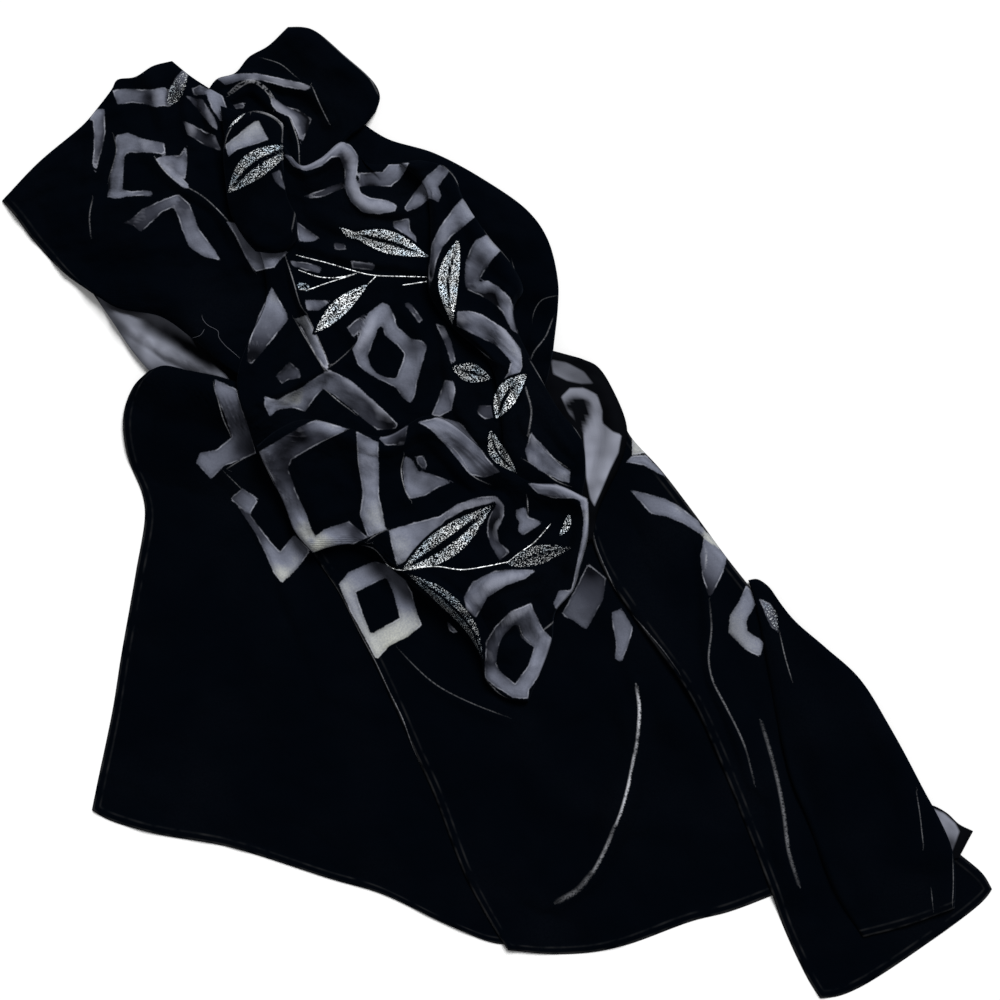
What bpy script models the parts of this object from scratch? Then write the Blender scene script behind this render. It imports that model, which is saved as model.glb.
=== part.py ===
"""Evening stole of burnt-out velvet, dropped in a loose heap on a flat surface.

One rectangle of velvet with a narrow hem shows as fourteen stretches, which lie over each
other and over one solid of hidden layers. Plan places are in millimetres on a one metre
square: across from its left edge, and down from its back edge towards the viewer.
"""

from collections import namedtuple

import bmesh
import bpy
import numpy as np

MM = 0.001
MIDDLE = (497.0, 512.0)  # the middle of the stole on the square
WALL = 2.0  # cloth with its pile, measured square to the cloth
STEEPEST_WALL = 2.0  # on a steep slope the upright wall is at most this many walls
SEAM = 0.35  # air between two stretches that touch
PANEL_STEP = 27.0  # grid step on a stretch that lies flat
FOLD_STEP = 15.0  # grid step on a gathered stretch
NARROWEST = 14.0  # half width of the narrowest fold that the grid can hold
CELL = 2.0  # cell of the height map
MAP_HALF = 540.0  # half the width of the height map
DRAPE = 9.0  # how far cloth bridges out from a step below it
CROWDING = 0.45  # how far grid lines crowd towards a stretch's sides, of 1
GUIDE_PLACES = 40  # places along a fold's guide from which its width is measured
TAPER_START = 0.06  # share of a fold's length at which its taper is cut off
CLEAR_ENOUGH = 0.01  # a stretch is lifted until it clears the one below by this or better
LIFTS = 40  # the most times that a stretch is lifted

# The hidden layers: each one is set in from the layer below, and its edge is round.
LAYERS = 4
LAYER_HEIGHT = 6.0
LAYER_SET_IN = 15.0
LAYER_EDGE = ((2.0, 0.0), (0.0, 2.5), (2.5, 6.0))  # set in, height
CORE_POINTS = 44
RAYS = 900  # rays from the middle that fill the hidden layers' part of the height map
CORE_MIDDLE = (350.0, 362.0)
CORE_OUTLINE = (
    (205, 116), (255, 114), (308, 146), (380, 168), (436, 182), (478, 225), (500, 262),
    (506, 300), (512, 350), (540, 402), (566, 440), (572, 500), (560, 560), (535, 612),
    (502, 632), (462, 606), (404, 566), (350, 536), (306, 510), (272, 470), (243, 420),
    (222, 392), (190, 345), (152, 300), (122, 250), (116, 190), (150, 142),
)  # fmt: skip

# How a side of a stretch ends: the height of the rolled edge, its radius, how far it reaches.
Edge = namedtuple("Edge", "height radius reach")
EDGES = {
    "tucked": Edge(0.0, 30.0, 1.0),
    "hem": Edge(0.0, 12.0, 1.0),
    "soft": Edge(2.0, 12.0, 16.0),
    "fold": Edge(5.0, 14.0, 24.0),
    "roll": Edge(9.0, 20.0, 34.0),
}

# A stretch is a sheet between four sides. Each side runs between two of the corners, which go
# round from the back left. back and front run left to right, left and right run back to front.
Stretch = namedtuple("Stretch", "name cloth step puff edges corners back front left right")
STRETCHES = (
    Stretch(
        "turned_back", "reverse", FOLD_STEP, 5.0, ("tucked", "tucked", "fold", "tucked"),
        ((92, 292), (262, 350), (262, 410), (168, 395)),
        back=((140, 285), (200, 305)),
        front=((210, 405),),
        left=((112, 321), (133, 352), (150, 372)),
        right=(),
    ),
    Stretch(
        "end_left", "velvet", PANEL_STEP, 0.0, ("roll", "hem", "hem", "tucked"),
        ((150, 371), (275, 386), (540, 940), (92, 810)),
        back=((165, 366), (190, 371), (220, 377), (245, 384)),
        front=((107, 819), (152, 833), (229, 847), (331, 879), (382, 894), (450, 926), (500, 944)),
        left=((134, 386), (125, 407), (123, 427), (128, 458), (142, 493), (145, 514), (136, 572),
              (121, 657), (113, 708), (97, 785)),
        right=((295, 440), (320, 495), (350, 545), (410, 660), (445, 740), (490, 850), (520, 910)),
    ),
    Stretch(
        "end_centre", "velvet", PANEL_STEP, 0.0, ("tucked", "hem", "hem", "tucked"),
        ((300, 520), (600, 520), (800, 884), (508, 950)),
        back=((350, 500), (420, 510), (500, 520)),
        front=((552, 954), (593, 952), (629, 944), (692, 921), (731, 911)),
        left=((313, 552), (339, 593), (361, 636), (386, 687), (412, 746), (433, 792), (465, 875),
              (494, 928)),
        right=((640, 590), (680, 650), (715, 700), (740, 750), (785, 850)),
    ),
    Stretch(
        "tail_under", "velvet", PANEL_STEP, 0.0, ("tucked", "hem", "hem", "hem"),
        ((585, 500), (622, 420), (992, 889), (820, 998)),
        back=((605, 460),),
        front=((838, 996), (862, 986), (922, 947), (983, 901)),
        left=((589, 526), (602, 567), (638, 623), (686, 690), (714, 748), (743, 819), (771, 892),
              (784, 928), (808, 979)),
        right=((631, 437), (661, 470), (694, 513), (724, 554), (742, 577), (765, 605), (788, 628),
               (838, 668), (866, 707), (904, 769), (924, 811), (950, 845), (983, 874)),
    ),
    Stretch(
        "turned_corner", "reverse", FOLD_STEP, 1.5, ("hem", "tucked", "tucked", "hem"),
        ((905, 800), (973, 831), (958, 858), (900, 850)),
        back=((932, 805), (947, 813), (959, 824)),
        front=((930, 862),),
        left=(),
        right=(),
    ),
    Stretch(
        "tail_over", "velvet", PANEL_STEP, 1.5, ("soft", "hem", "soft", "fold"),
        ((757, 583), (772, 592), (954, 908), (863, 937)),
        back=(),
        front=((898, 928), (922, 920)),
        left=((760, 605), (768, 671), (789, 773), (807, 819), (835, 893)),
        right=((794, 620), (825, 647), (859, 678), (891, 729), (922, 787), (950, 845), (955, 882)),
    ),
    Stretch(
        "right_loop", "reverse", FOLD_STEP, 5.0, ("fold", "tucked", "tucked", "soft"),
        ((530, 345), (580, 358), (592, 540), (570, 545)),
        back=((554, 351),),
        front=(),
        left=((545, 390), (555, 430), (562, 500)),
        right=((597, 366), (612, 388), (627, 429), (621, 462), (599, 508)),
    ),
    Stretch(
        "back_border", "velvet", FOLD_STEP, 5.0, ("fold", "tucked", "tucked", "soft"),
        ((350, 115), (553, 352), (538, 400), (345, 175)),
        back=((365, 125), (388, 139), (434, 153), (483, 179), (529, 212), (548, 240), (558, 281),
              (558, 306)),
        front=((390, 190), (435, 200), (465, 235), (490, 275), (500, 320), (512, 360)),
        left=((340, 150),),
        right=((546, 383),),
    ),
    Stretch(
        "top_flap", "velvet", FOLD_STEP, 3.0, ("fold", "soft", "tucked", "fold"),
        ((208, 90), (288, 27), (376, 112), (245, 150)),
        back=((217, 79), (235, 73), (249, 57), (268, 46)),
        front=((290, 190), (330, 165), (348, 140), (365, 126)),
        left=((230, 130),),
        right=((311, 29), (344, 55), (375, 84), (380, 97)),
    ),
    Stretch(
        "end_top_left", "velvet", FOLD_STEP, 3.0, ("soft", "soft", "hem", "tucked"),
        ((2, 201), (172, 61), (262, 390), (92, 293)),
        back=((38, 163), (84, 124), (96, 110), (112, 89), (117, 80), (135, 77), (153, 66)),
        front=((120, 309), (163, 318), (196, 341), (225, 365)),
        left=((15, 216), (33, 240), (64, 273)),
        right=((189, 75), (208, 88), (232, 104), (252, 140), (268, 190), (289, 258), (284, 320)),
    ),
    Stretch(
        "bunch_upper", "velvet", FOLD_STEP, 6.0, ("fold", "tucked", "soft", "tucked"),
        ((222, 108), (425, 163), (530, 500), (258, 455)),
        back=((262, 122), (283, 145), (303, 168), (321, 161), (345, 143), (366, 164), (392, 166)),
        front=((300, 450), (345, 455), (385, 462), (425, 448), (470, 452)),
        left=((228, 150), (238, 200), (262, 255), (268, 300), (250, 345), (240, 385), (250, 425)),
        right=((455, 200), (458, 290), (480, 325), (505, 355), (520, 400), (530, 450)),
    ),
    Stretch(
        "right_fold", "velvet", FOLD_STEP, 7.0, ("soft", "tucked", "fold", "fold"),
        ((400, 165), (442, 167), (580, 505), (505, 478)),
        back=((420, 163),),
        front=((540, 492),),
        left=((425, 190), (431, 246), (429, 292), (452, 328), (488, 361), (498, 395), (503, 440)),
        right=((453, 174), (463, 199), (488, 237), (510, 263), (523, 291), (514, 308),
               (517, 330), (534, 366), (558, 409), (581, 439), (585, 470)),
    ),
    Stretch(
        "rolled_fold", "velvet", FOLD_STEP, 5.0, ("fold", "fold", "fold", "fold"),
        ((230, 133), (285, 127), (300, 241), (258, 254)),
        back=((240, 122), (256, 114), (274, 118)),
        front=((275, 256), (290, 253)),
        left=((226, 150), (228, 185), (233, 215), (246, 240)),
        right=((286, 170), (289, 199), (298, 219)),
    ),
    Stretch(
        "bunch_lower", "velvet", FOLD_STEP, 6.0, ("fold", "soft", "soft", "fold"),
        ((259, 447), (588, 499), (528, 702), (313, 553)),
        back=((278, 432), (300, 421), (320, 421), (345, 427), (385, 437), (425, 417), (445, 420),
              (495, 460), (530, 482), (560, 485)),
        front=((330, 547), (350, 544), (374, 549), (389, 563), (445, 600), (472, 623), (484, 652),
               (488, 680), (505, 697)),
        left=((268, 470), (284, 502), (295, 531)),
        right=((588, 534), (577, 579), (572, 592), (555, 613), (552, 640)),
    ),
)  # fmt: skip

# The largest folds of each stretch. A fold runs along its guide, stands up by its height and
# falls to nothing at its half width; lean above 0 steepens its left side, below 0 its right.
Fold = namedtuple("Fold", "stretch half_width height lean guide")
FOLDS = (
    Fold("turned_back", 22, 9, 0.2, ((100, 305), (160, 350), (230, 378))),
    Fold("end_left", 62, 17, 0.0, ((148, 425), (190, 430), (245, 445))),
    Fold("end_left", 30, 9, 0.0, ((160, 392), (200, 395), (250, 408))),
    Fold("end_left", 26, 6, 0.3, ((215, 462), (244, 492), (283, 575), (330, 690))),
    Fold("end_left", 48, 5, 0.0, ((185, 520), (175, 640), (150, 770))),
    Fold("end_left", 50, 5, 0.0, ((270, 600), (300, 720), (360, 850))),
    Fold("end_centre", 26, 6, 0.3, ((400, 649), (424, 677), (452, 697), (510, 719))),
    Fold("end_centre", 30, 11, -0.3, ((636, 689), (638, 750), (620, 815), (598, 866), (557, 901))),
    Fold("end_centre", 44, 7, 0.0, ((545, 700), (556, 770), (530, 870))),
    Fold("end_centre", 36, 8, 0.2, ((610, 590), (650, 670), (690, 760))),
    Fold("tail_under", 26, 9, 0.4, ((703, 545), (709, 600), (712, 672), (735, 725), (754, 783))),
    Fold("tail_under", 26, 7, -0.3, ((754, 717), (779, 778), (789, 860), (810, 926))),
    Fold("tail_under", 26, 7, 0.0, ((612, 560), (650, 625), (690, 680), (722, 740))),
    Fold("tail_under", 36, 6, 0.0, ((650, 490), (672, 560), (680, 620))),
    Fold("tail_over", 40, 9, 0.2, ((785, 640), (810, 720), (850, 820), (890, 905))),
    Fold("tail_over", 30, 6, 0.0, ((845, 690), (880, 760), (912, 850), (925, 895))),
    Fold("right_loop", 13, 11, -0.2, ((600, 388), (614, 415), (615, 440), (603, 478), (595, 512))),
    Fold("right_loop", 15, 9, 0.0, ((560, 390), (570, 430), (578, 480))),
    Fold("back_border", 24, 9, 0.0, ((385, 155), (440, 178), (490, 213), (528, 258), (538, 340))),
    Fold("top_flap", 14, 9, 0.0, ((212, 90), (233, 78), (289, 86), (314, 93), (329, 123))),
    Fold("top_flap", 14, 12, 0.2, ((227, 98), (254, 90), (274, 108), (292, 125), (300, 164))),
    Fold("top_flap", 40, 8, 0.0, ((296, 50), (335, 78), (352, 105))),
    Fold("end_top_left", 14, 5, 0.0, ((98, 116), (95, 150), (91, 235))),
    Fold("end_top_left", 16, 9, 0.3, ((150, 155), (189, 190), (222, 212), (245, 262))),
    Fold("end_top_left", 13, 8, 0.0, ((150, 75), (160, 100), (168, 145))),
    Fold("end_top_left", 13, 9, 0.0, ((182, 72), (188, 100), (196, 145))),
    Fold("end_top_left", 13, 8, 0.0, ((204, 92), (214, 120), (226, 160))),
    Fold("end_top_left", 46, 8, 0.0, ((60, 185), (110, 230), (165, 285))),
    Fold("end_top_left", 22, 8, 0.0, ((115, 295), (165, 300), (205, 325), (240, 365))),
    Fold("bunch_upper", 13, 12, 0.0, ((292, 162), (303, 171), (321, 165), (343, 150), (354, 165),
                                      (357, 192), (368, 206), (398, 211), (420, 205))),
    Fold("bunch_upper", 13, 9, 0.2, ((300, 245), (350, 260), (400, 268), (430, 274))),
    Fold("bunch_upper", 13, 8, -0.2, ((318, 215), (350, 228), (405, 236))),
    Fold("bunch_upper", 14, 10, 0.3, ((287, 263), (298, 300), (315, 335), (330, 370))),
    Fold("bunch_upper", 14, 9, 0.0, ((385, 305), (368, 335), (352, 358), (330, 375))),
    Fold("bunch_upper", 14, 9, -0.2, ((330, 372), (358, 392), (395, 420))),
    Fold("bunch_upper", 14, 8, 0.0, ((410, 315), (426, 345), (428, 372), (415, 408))),
    Fold("bunch_upper", 13, 8, 0.0, ((266, 408), (290, 396), (325, 377))),
    Fold("bunch_upper", 15, 9, 0.2, ((442, 340), (452, 375), (462, 410), (480, 435))),
    Fold("right_fold", 14, 8, -0.3, ((445, 174), (463, 204), (485, 242), (507, 270), (513, 292),
                                     (506, 312), (512, 345), (526, 382), (548, 420), (568, 455))),
    Fold("right_fold", 13, 8, 0.3, ((434, 205), (440, 250), (440, 288), (460, 322), (497, 362))),
    Fold("right_fold", 13, 7, 0.0, ((462, 305), (486, 316), (505, 345))),
    Fold("right_fold", 13, 8, 0.0, ((513, 372), (524, 395), (526, 425), (545, 450), (565, 470))),
    Fold("rolled_fold", 25, 13, 0.0, ((258, 122), (258, 160), (263, 200), (277, 245))),
    Fold("bunch_lower", 14, 6, 0.0, ((270, 450), (300, 434), (345, 440), (388, 449), (428, 430),
                                     (470, 450))),
    Fold("bunch_lower", 14, 8, 0.2, ((425, 432), (450, 458), (467, 478), (482, 490))),
    Fold("bunch_lower", 14, 9, 0.0, ((440, 515), (480, 502), (499, 500), (504, 515), (498, 532),
                                     (510, 547))),
    Fold("bunch_lower", 14, 8, 0.0, ((392, 566), (445, 595), (470, 618), (484, 650), (490, 682))),
    Fold("bunch_lower", 14, 8, -0.2, ((560, 488), (582, 502), (582, 535), (572, 577), (548, 615))),
    Fold("bunch_lower", 14, 8, 0.0, ((468, 606), (492, 584), (535, 572))),
    Fold("bunch_lower", 14, 8, 0.0, ((492, 655), (505, 622), (530, 608), (545, 640))),
    Fold("bunch_lower", 18, 6, 0.0, ((300, 455), (312, 492), (328, 532))),
    Fold("bunch_lower", 16, 6, 0.0, ((362, 448), (372, 485), (378, 530))),
)  # fmt: skip

# What each cloth face looks like: linear colour, roughness.
FINISHES = {
    "velvet": ((0.0016, 0.0021, 0.0035), 0.9),
    "reverse": ((0.16, 0.17, 0.21), 0.8),
}


def curve_through(points, shares):
    """Places at the given shares of the length of a smooth curve through the points."""
    guide = np.array(points, float)
    ends = np.vstack([2 * guide[0] - guide[1], guide, 2 * guide[-1] - guide[-2]])
    pieces = []
    for p0, p1, p2, p3 in zip(ends, ends[1:], ends[2:], ends[3:]):
        t1 = np.sqrt(np.linalg.norm(p1 - p0))
        t2 = t1 + np.sqrt(np.linalg.norm(p2 - p1))
        t3 = t2 + np.sqrt(np.linalg.norm(p3 - p2))
        t = np.linspace(t1, t2, 16, endpoint=False)[:, None]
        a1 = (p0 * (t1 - t) + p1 * t) / t1
        a2 = (p1 * (t2 - t) + p2 * (t - t1)) / (t2 - t1)
        a3 = (p2 * (t3 - t) + p3 * (t - t2)) / (t3 - t2)
        b1 = (a1 * (t2 - t) + a2 * t) / t2
        b2 = (a2 * (t3 - t) + a3 * (t - t1)) / (t3 - t1)
        pieces.append((b1 * (t2 - t) + b2 * (t - t1)) / (t2 - t1))
    dense = np.vstack([*pieces, guide[-1:]])
    steps = np.linalg.norm(np.diff(dense, axis=0), axis=1)
    run = np.concatenate([[0.0], np.cumsum(steps)])
    wanted = np.asarray(shares) * run[-1]
    return np.stack([np.interp(wanted, run, dense[:, k]) for k in (0, 1)], axis=1)


def closer_at_the_ends(count):
    """count + 1 shares from 0 to 1 that crowd towards both ends, where the edges roll."""
    even = np.linspace(0.0, 1.0, count + 1)
    return even - CROWDING * np.sin(2 * np.pi * even) / (2 * np.pi)


def length_of(points):
    return np.linalg.norm(np.diff(np.array(points, float), axis=0), axis=1).sum()


def plan_of(stretch):
    """The plan places of the stretch's grid: rows go from back to front."""
    back_left, back_right, front_right, front_left = stretch.corners
    sides = {
        "back": (back_left, *stretch.back, back_right),
        "front": (front_left, *stretch.front, front_right),
        "left": (back_left, *stretch.left, front_left),
        "right": (back_right, *stretch.right, front_right),
    }
    wide = max(length_of(sides["back"]), length_of(sides["front"]))
    long = max(length_of(sides["left"]), length_of(sides["right"]))
    u = closer_at_the_ends(max(3, round(wide / stretch.step)))
    v = closer_at_the_ends(max(3, round(long / stretch.step)))
    back, front = curve_through(sides["back"], u), curve_through(sides["front"], u)
    left, right = curve_through(sides["left"], v), curve_through(sides["right"], v)
    u, v = u[None, :, None], v[:, None, None]
    ruled_down = (1 - v) * back[None] + v * front[None]
    ruled_across = (1 - u) * left[:, None] + u * right[:, None]
    corners = (1 - v) * ((1 - u) * back[0] + u * back[-1])
    corners = corners + v * ((1 - u) * front[0] + u * front[-1])
    return ruled_down + ruled_across - corners


def from_sides(plan):
    """How far each place is from the back, front, left and right side, along the grid."""
    down = np.linalg.norm(np.diff(plan, axis=0), axis=2)
    across = np.linalg.norm(np.diff(plan, axis=1), axis=2)
    down = np.vstack([np.zeros((1, plan.shape[1])), np.cumsum(down, axis=0)])
    across = np.hstack([np.zeros((plan.shape[0], 1)), np.cumsum(across, axis=1)])
    return down, down[-1:] - down, across, across[:, -1:] - across


def fold_rise(fold, plan):
    """How far one fold lifts each place of the plan."""
    guide = curve_through(fold.guide, np.linspace(0.0, 1.0, GUIDE_PLACES))
    tangent = np.gradient(guide, axis=0)
    away = plan[:, :, None, :] - guide[None, None]
    distance = np.linalg.norm(away, axis=3)
    nearest = distance.argmin(axis=2)
    distance = np.take_along_axis(distance, nearest[..., None], axis=2)[..., 0]
    offset = np.take_along_axis(away, nearest[..., None, None], axis=2)[:, :, 0]
    along = tangent[nearest]
    side = np.sign(along[..., 0] * offset[..., 1] - along[..., 1] * offset[..., 0])
    half_width = max(fold.half_width, NARROWEST) * (1 - side * fold.lean)
    section = np.cos(np.clip(distance / half_width, 0, 1) * np.pi / 2) ** 2
    share = np.clip(nearest / (GUIDE_PLACES - 1), TAPER_START, 1 - TAPER_START)
    taper = np.sin(share * np.pi) ** 0.5
    return fold.height * section * taper


def relief_of(stretch, plan):
    """Height of the stretch above what it lies on: its puff, rolled edges and folds."""
    rise = np.full(plan.shape[:2], stretch.puff)
    keep = np.ones(plan.shape[:2])
    for kind, distance in zip(stretch.edges, from_sides(plan)):
        edge = EDGES[kind]
        rise += edge.height * np.exp(-((distance / edge.reach) ** 2))
        turned = 1 - np.clip(distance / edge.radius, 0, 1)
        keep *= np.sqrt(1 - turned**2)
    for fold in FOLDS:
        if fold.stretch == stretch.name:
            rise += fold_rise(fold, plan)
    return rise * keep


def cells_of(places):
    """The column and row of the height map that hold each place."""
    return np.rint((places - np.array(MIDDLE) + MAP_HALF) / CELL).astype(int)


def spread(heights, cells):
    """Each cell of the map takes the greatest height within so many cells."""
    for _ in range(cells):
        for axis in (0, 1):
            heights = np.maximum(heights, np.maximum(np.roll(heights, 1, axis),
                                                     np.roll(heights, -1, axis)))  # fmt: skip
    return heights


def blurred(heights, cells):
    """The map averaged over so many cells to each side, twice."""
    for _ in range(2):
        for axis in (0, 1):
            heights = sum(np.roll(heights, k, axis) for k in range(-cells, cells + 1))
            heights = heights / (2 * cells + 1)
    return heights


def samples_of(grid):
    """Places spread over every triangle of the grid: corner numbers and their weights."""
    rows, columns = grid.shape[:2]
    edge = max(np.linalg.norm(np.diff(grid, axis=a), axis=2).max() for a in (0, 1))
    n = int(np.ceil(edge / (CELL / 2)))
    s, t = (a.ravel() for a in np.meshgrid(np.linspace(0, 1, n + 1), np.linspace(0, 1, n + 1)))
    near, far = 1 - np.maximum(s, t), np.minimum(s, t)
    weights = np.stack([near, np.maximum(s - t, 0), far, np.maximum(t - s, 0)], axis=1)
    first = (np.arange(rows - 1)[:, None] * columns + np.arange(columns - 1)).ravel()
    corners = np.stack([first, first + 1, first + columns + 1, first + columns], axis=1)
    return corners, weights


def laid_over(stretch, plan, below):
    """Height of the stretch's underside: draped on the map below, then lifted until clear."""
    reach = round(DRAPE / CELL)
    eased = blurred(spread(below, reach), reach)
    column, row = np.moveaxis(cells_of(plan), 2, 0)
    floor = eased[row, column]
    floor = np.where(floor > 0.05, floor + SEAM, 0.0)
    height = (floor + relief_of(stretch, plan)).ravel()
    corners, weights = samples_of(plan)
    flat = plan.reshape(-1, 2)
    places = np.einsum("sk,qkc->qsc", weights, flat[corners])
    column, row = np.moveaxis(cells_of(places), 2, 0)
    needed = spread(below, 1)[row, column]
    needed = np.where(needed > 0, needed + SEAM, 0.0)
    share = weights / (weights**2).sum(axis=1, keepdims=True)
    for _ in range(LIFTS):
        short = needed - height[corners] @ weights.T
        if short.max() < CLEAR_ENOUGH:
            break
        lift = np.zeros_like(height)
        for k in range(4):
            np.maximum.at(lift, corners[:, k], (np.clip(short, 0, None) * share[:, k]).max(axis=1))
        height += lift
    return height.reshape(plan.shape[:2])


def wall_of(plan, height):
    """Upright thickness of the cloth, greater where it is steep."""
    down = np.gradient(height, axis=0) / np.linalg.norm(np.gradient(plan, axis=0), axis=2)
    across = np.gradient(height, axis=1) / np.linalg.norm(np.gradient(plan, axis=1), axis=2)
    return WALL * np.minimum(np.sqrt(1 + down**2 + across**2), STEEPEST_WALL)


def pour(below, plan, top):
    """Raises the height map to the top of the stretch."""
    corners, weights = samples_of(plan)
    places = np.einsum("sk,qkc->qsc", weights, plan.reshape(-1, 2)[corners])
    column, row = np.moveaxis(cells_of(places), 2, 0)
    np.maximum.at(below, (row, column), top.ravel()[corners] @ weights.T)


def placed(places, height):
    """Plan places and heights in millimetres as metres in the part's own frame."""
    across, down = np.moveaxis(places, -1, 0)
    return np.stack([across - MIDDLE[0], MIDDLE[1] - down, height], axis=-1) * MM


def material(cloth):
    found = bpy.data.materials.get(cloth)
    if found:
        return found
    colour, roughness = FINISHES[cloth]
    made = bpy.data.materials.new(cloth)
    made.use_nodes = True
    shader = made.node_tree.nodes["Principled BSDF"]
    shader.inputs["Base Color"].default_value = (*colour, 1.0)
    shader.inputs["Roughness"].default_value = roughness
    shader.inputs["Metallic"].default_value = 0.0
    return made


def finish_solid(bm, name, cloth, collection):
    """Closes the mesh up as one object that faces outwards."""
    bmesh.ops.recalc_face_normals(bm, faces=bm.faces[:])
    mesh = bpy.data.meshes.new(name)
    bm.to_mesh(mesh)
    bm.free()
    mesh.materials.append(material(cloth))
    collection.objects.link(bpy.data.objects.new(name, mesh))


def build_stretch(stretch, below, collection):
    """One sheet of cloth: a grid laid over what is below it, then given its thickness."""
    plan = plan_of(stretch)
    height = laid_over(stretch, plan, below)
    wall = wall_of(plan, height)
    pour(below, plan, height + wall)
    rows, columns = height.shape
    bm = bmesh.new()
    bmesh.ops.create_grid(bm, x_segments=columns - 1, y_segments=rows - 1, size=1.0)
    thickness = bm.verts.layers.float.new("thickness")
    for vert, place, upright in zip(bm.verts, placed(plan, height).reshape(-1, 3), wall.ravel()):
        vert.co = place
        vert[thickness] = upright * MM
    bmesh.ops.triangulate(bm, faces=bm.faces[:], quad_method="FIXED")
    made = bmesh.ops.extrude_face_region(bm, geom=bm.faces[:])
    for item in made["geom"]:
        if isinstance(item, bmesh.types.BMVert):
            item.co.z += item[thickness]
    finish_solid(bm, stretch.name, stretch.cloth, collection)


def build_hidden_layers(below, collection):
    """The folded cloth inside the heap: a flat foot and four round-edged layers."""
    around = np.linspace(0.0, 1.0, CORE_POINTS, endpoint=False)
    outline = curve_through((*CORE_OUTLINE, CORE_OUTLINE[0]), around)
    middle = np.array(CORE_MIDDLE)
    reach = np.linalg.norm(outline - middle, axis=1).mean()
    rings, heights = [], []
    for layer in range(LAYERS):
        for set_in, height in LAYER_EDGE:
            share = (layer * LAYER_SET_IN + set_in) / reach
            rings.append(outline + (middle - outline) * share)
            heights.append(layer * LAYER_HEIGHT + height)
        if layer < LAYERS - 1:
            heights[-1] -= 0.5
    bm = bmesh.new()
    loops = []
    for ring, height in zip(rings, heights):
        places = placed(ring, np.full(len(ring), height))
        loops.append([bm.verts.new(place) for place in places])
    for lower, upper in zip(loops, loops[1:]):
        for k in range(CORE_POINTS):
            n = (k + 1) % CORE_POINTS
            bm.faces.new((lower[k], lower[n], upper[n], upper[k]))
    bm.faces.new(loops[0])
    bm.faces.new(loops[-1])
    bmesh.ops.triangulate(bm, faces=bm.faces[:])
    finish_solid(bm, "hidden_layers", "velvet", collection)
    for ring, height in zip(rings, heights[1:] + heights[-1:]):
        fine = curve_through(np.vstack([ring, ring[:1]]), np.linspace(0.0, 1.0, RAYS))
        filled = middle + (fine - middle) * np.linspace(0.0, 1.0, RAYS)[:, None, None]
        column, row = np.moveaxis(cells_of(filled), 2, 0)
        np.maximum.at(below, (row, column), height)
    return below


def main():
    for ob in list(bpy.data.objects):
        bpy.data.objects.remove(ob, do_unlink=True)
    collection = bpy.data.collections.new("evening_stole")
    bpy.context.scene.collection.children.link(collection)
    cells = int(2 * MAP_HALF / CELL) + 1
    below = build_hidden_layers(np.zeros((cells, cells)), collection)
    for stretch in STRETCHES:
        build_stretch(stretch, below, collection)


main()
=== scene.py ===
"""Evening stole of burnt-out velvet, dropped in a loose heap on a pale surface.

The cloth shows as fourteen stretches that lie over each other and over the hidden layers. Plan
places are in millimetres on a one metre square: across from its left edge, and down from its
back edge towards the viewer. The pattern is nested squares of sheer ground with sprays of
silver leaves, set out by a short table for each stretch.
"""

from collections import namedtuple

import bpy
import numpy as np
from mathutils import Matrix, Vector
from mathutils.bvhtree import BVHTree


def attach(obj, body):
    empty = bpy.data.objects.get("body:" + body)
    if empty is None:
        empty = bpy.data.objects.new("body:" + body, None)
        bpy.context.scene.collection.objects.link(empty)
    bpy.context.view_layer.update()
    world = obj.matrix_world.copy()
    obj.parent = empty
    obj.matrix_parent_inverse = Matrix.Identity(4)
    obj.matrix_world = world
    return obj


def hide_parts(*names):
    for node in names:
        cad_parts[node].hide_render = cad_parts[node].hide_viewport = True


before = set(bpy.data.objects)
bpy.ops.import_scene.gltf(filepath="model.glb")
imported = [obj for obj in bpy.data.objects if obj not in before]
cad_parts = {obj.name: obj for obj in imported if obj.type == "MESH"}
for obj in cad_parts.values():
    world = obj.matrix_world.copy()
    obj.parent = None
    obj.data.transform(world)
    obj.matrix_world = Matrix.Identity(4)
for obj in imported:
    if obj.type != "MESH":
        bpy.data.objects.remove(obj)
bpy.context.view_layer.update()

bl_info = {
    "name": "Evening stole",
    "version": (1, 0, 0),
    "blender": (4, 5, 0),
    "location": "View3D > Sidebar > Stole",
    "description": "Lays a stole of burnt-out velvet in a loose heap",
    "category": "Add Mesh",
}

MM = 0.001
MIDDLE = (497.0, 512.0)  # the middle of the stole on the square
SEAM = 0.35  # air between two stretches that touch
STEEPEST_WALL = 2.0  # on a steep slope the upright wall is at most this many walls
CELL = 2.0  # cell of the height map
MAP_HALF = 540.0  # half the width of the height map
DRAPE = 9.0  # how far cloth bridges out from a step below it
CLEAR_ENOUGH = 0.02  # a stretch is lifted until it clears the one below by this or better
LIFTS = 30  # the most times that a stretch is lifted
TAPER_START = 0.06  # share of a fold's length at which its taper is cut off
GUIDE_STEP = 4.0  # distance between the places that a guide is measured from
ROUNDING = 1.6  # how far in from its edge the cloth rounds over
HEM_STITCH = 0.35  # depth of the groove that the hem's stitches pull
FAR = 60.0  # a distance that stands for nowhere near
CREST_REACH = 3.5  # a crest stands above the cloth this far to each side
HOLLOW_REACH = 12.0  # a hollow lies below the cloth this far to each side

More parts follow.
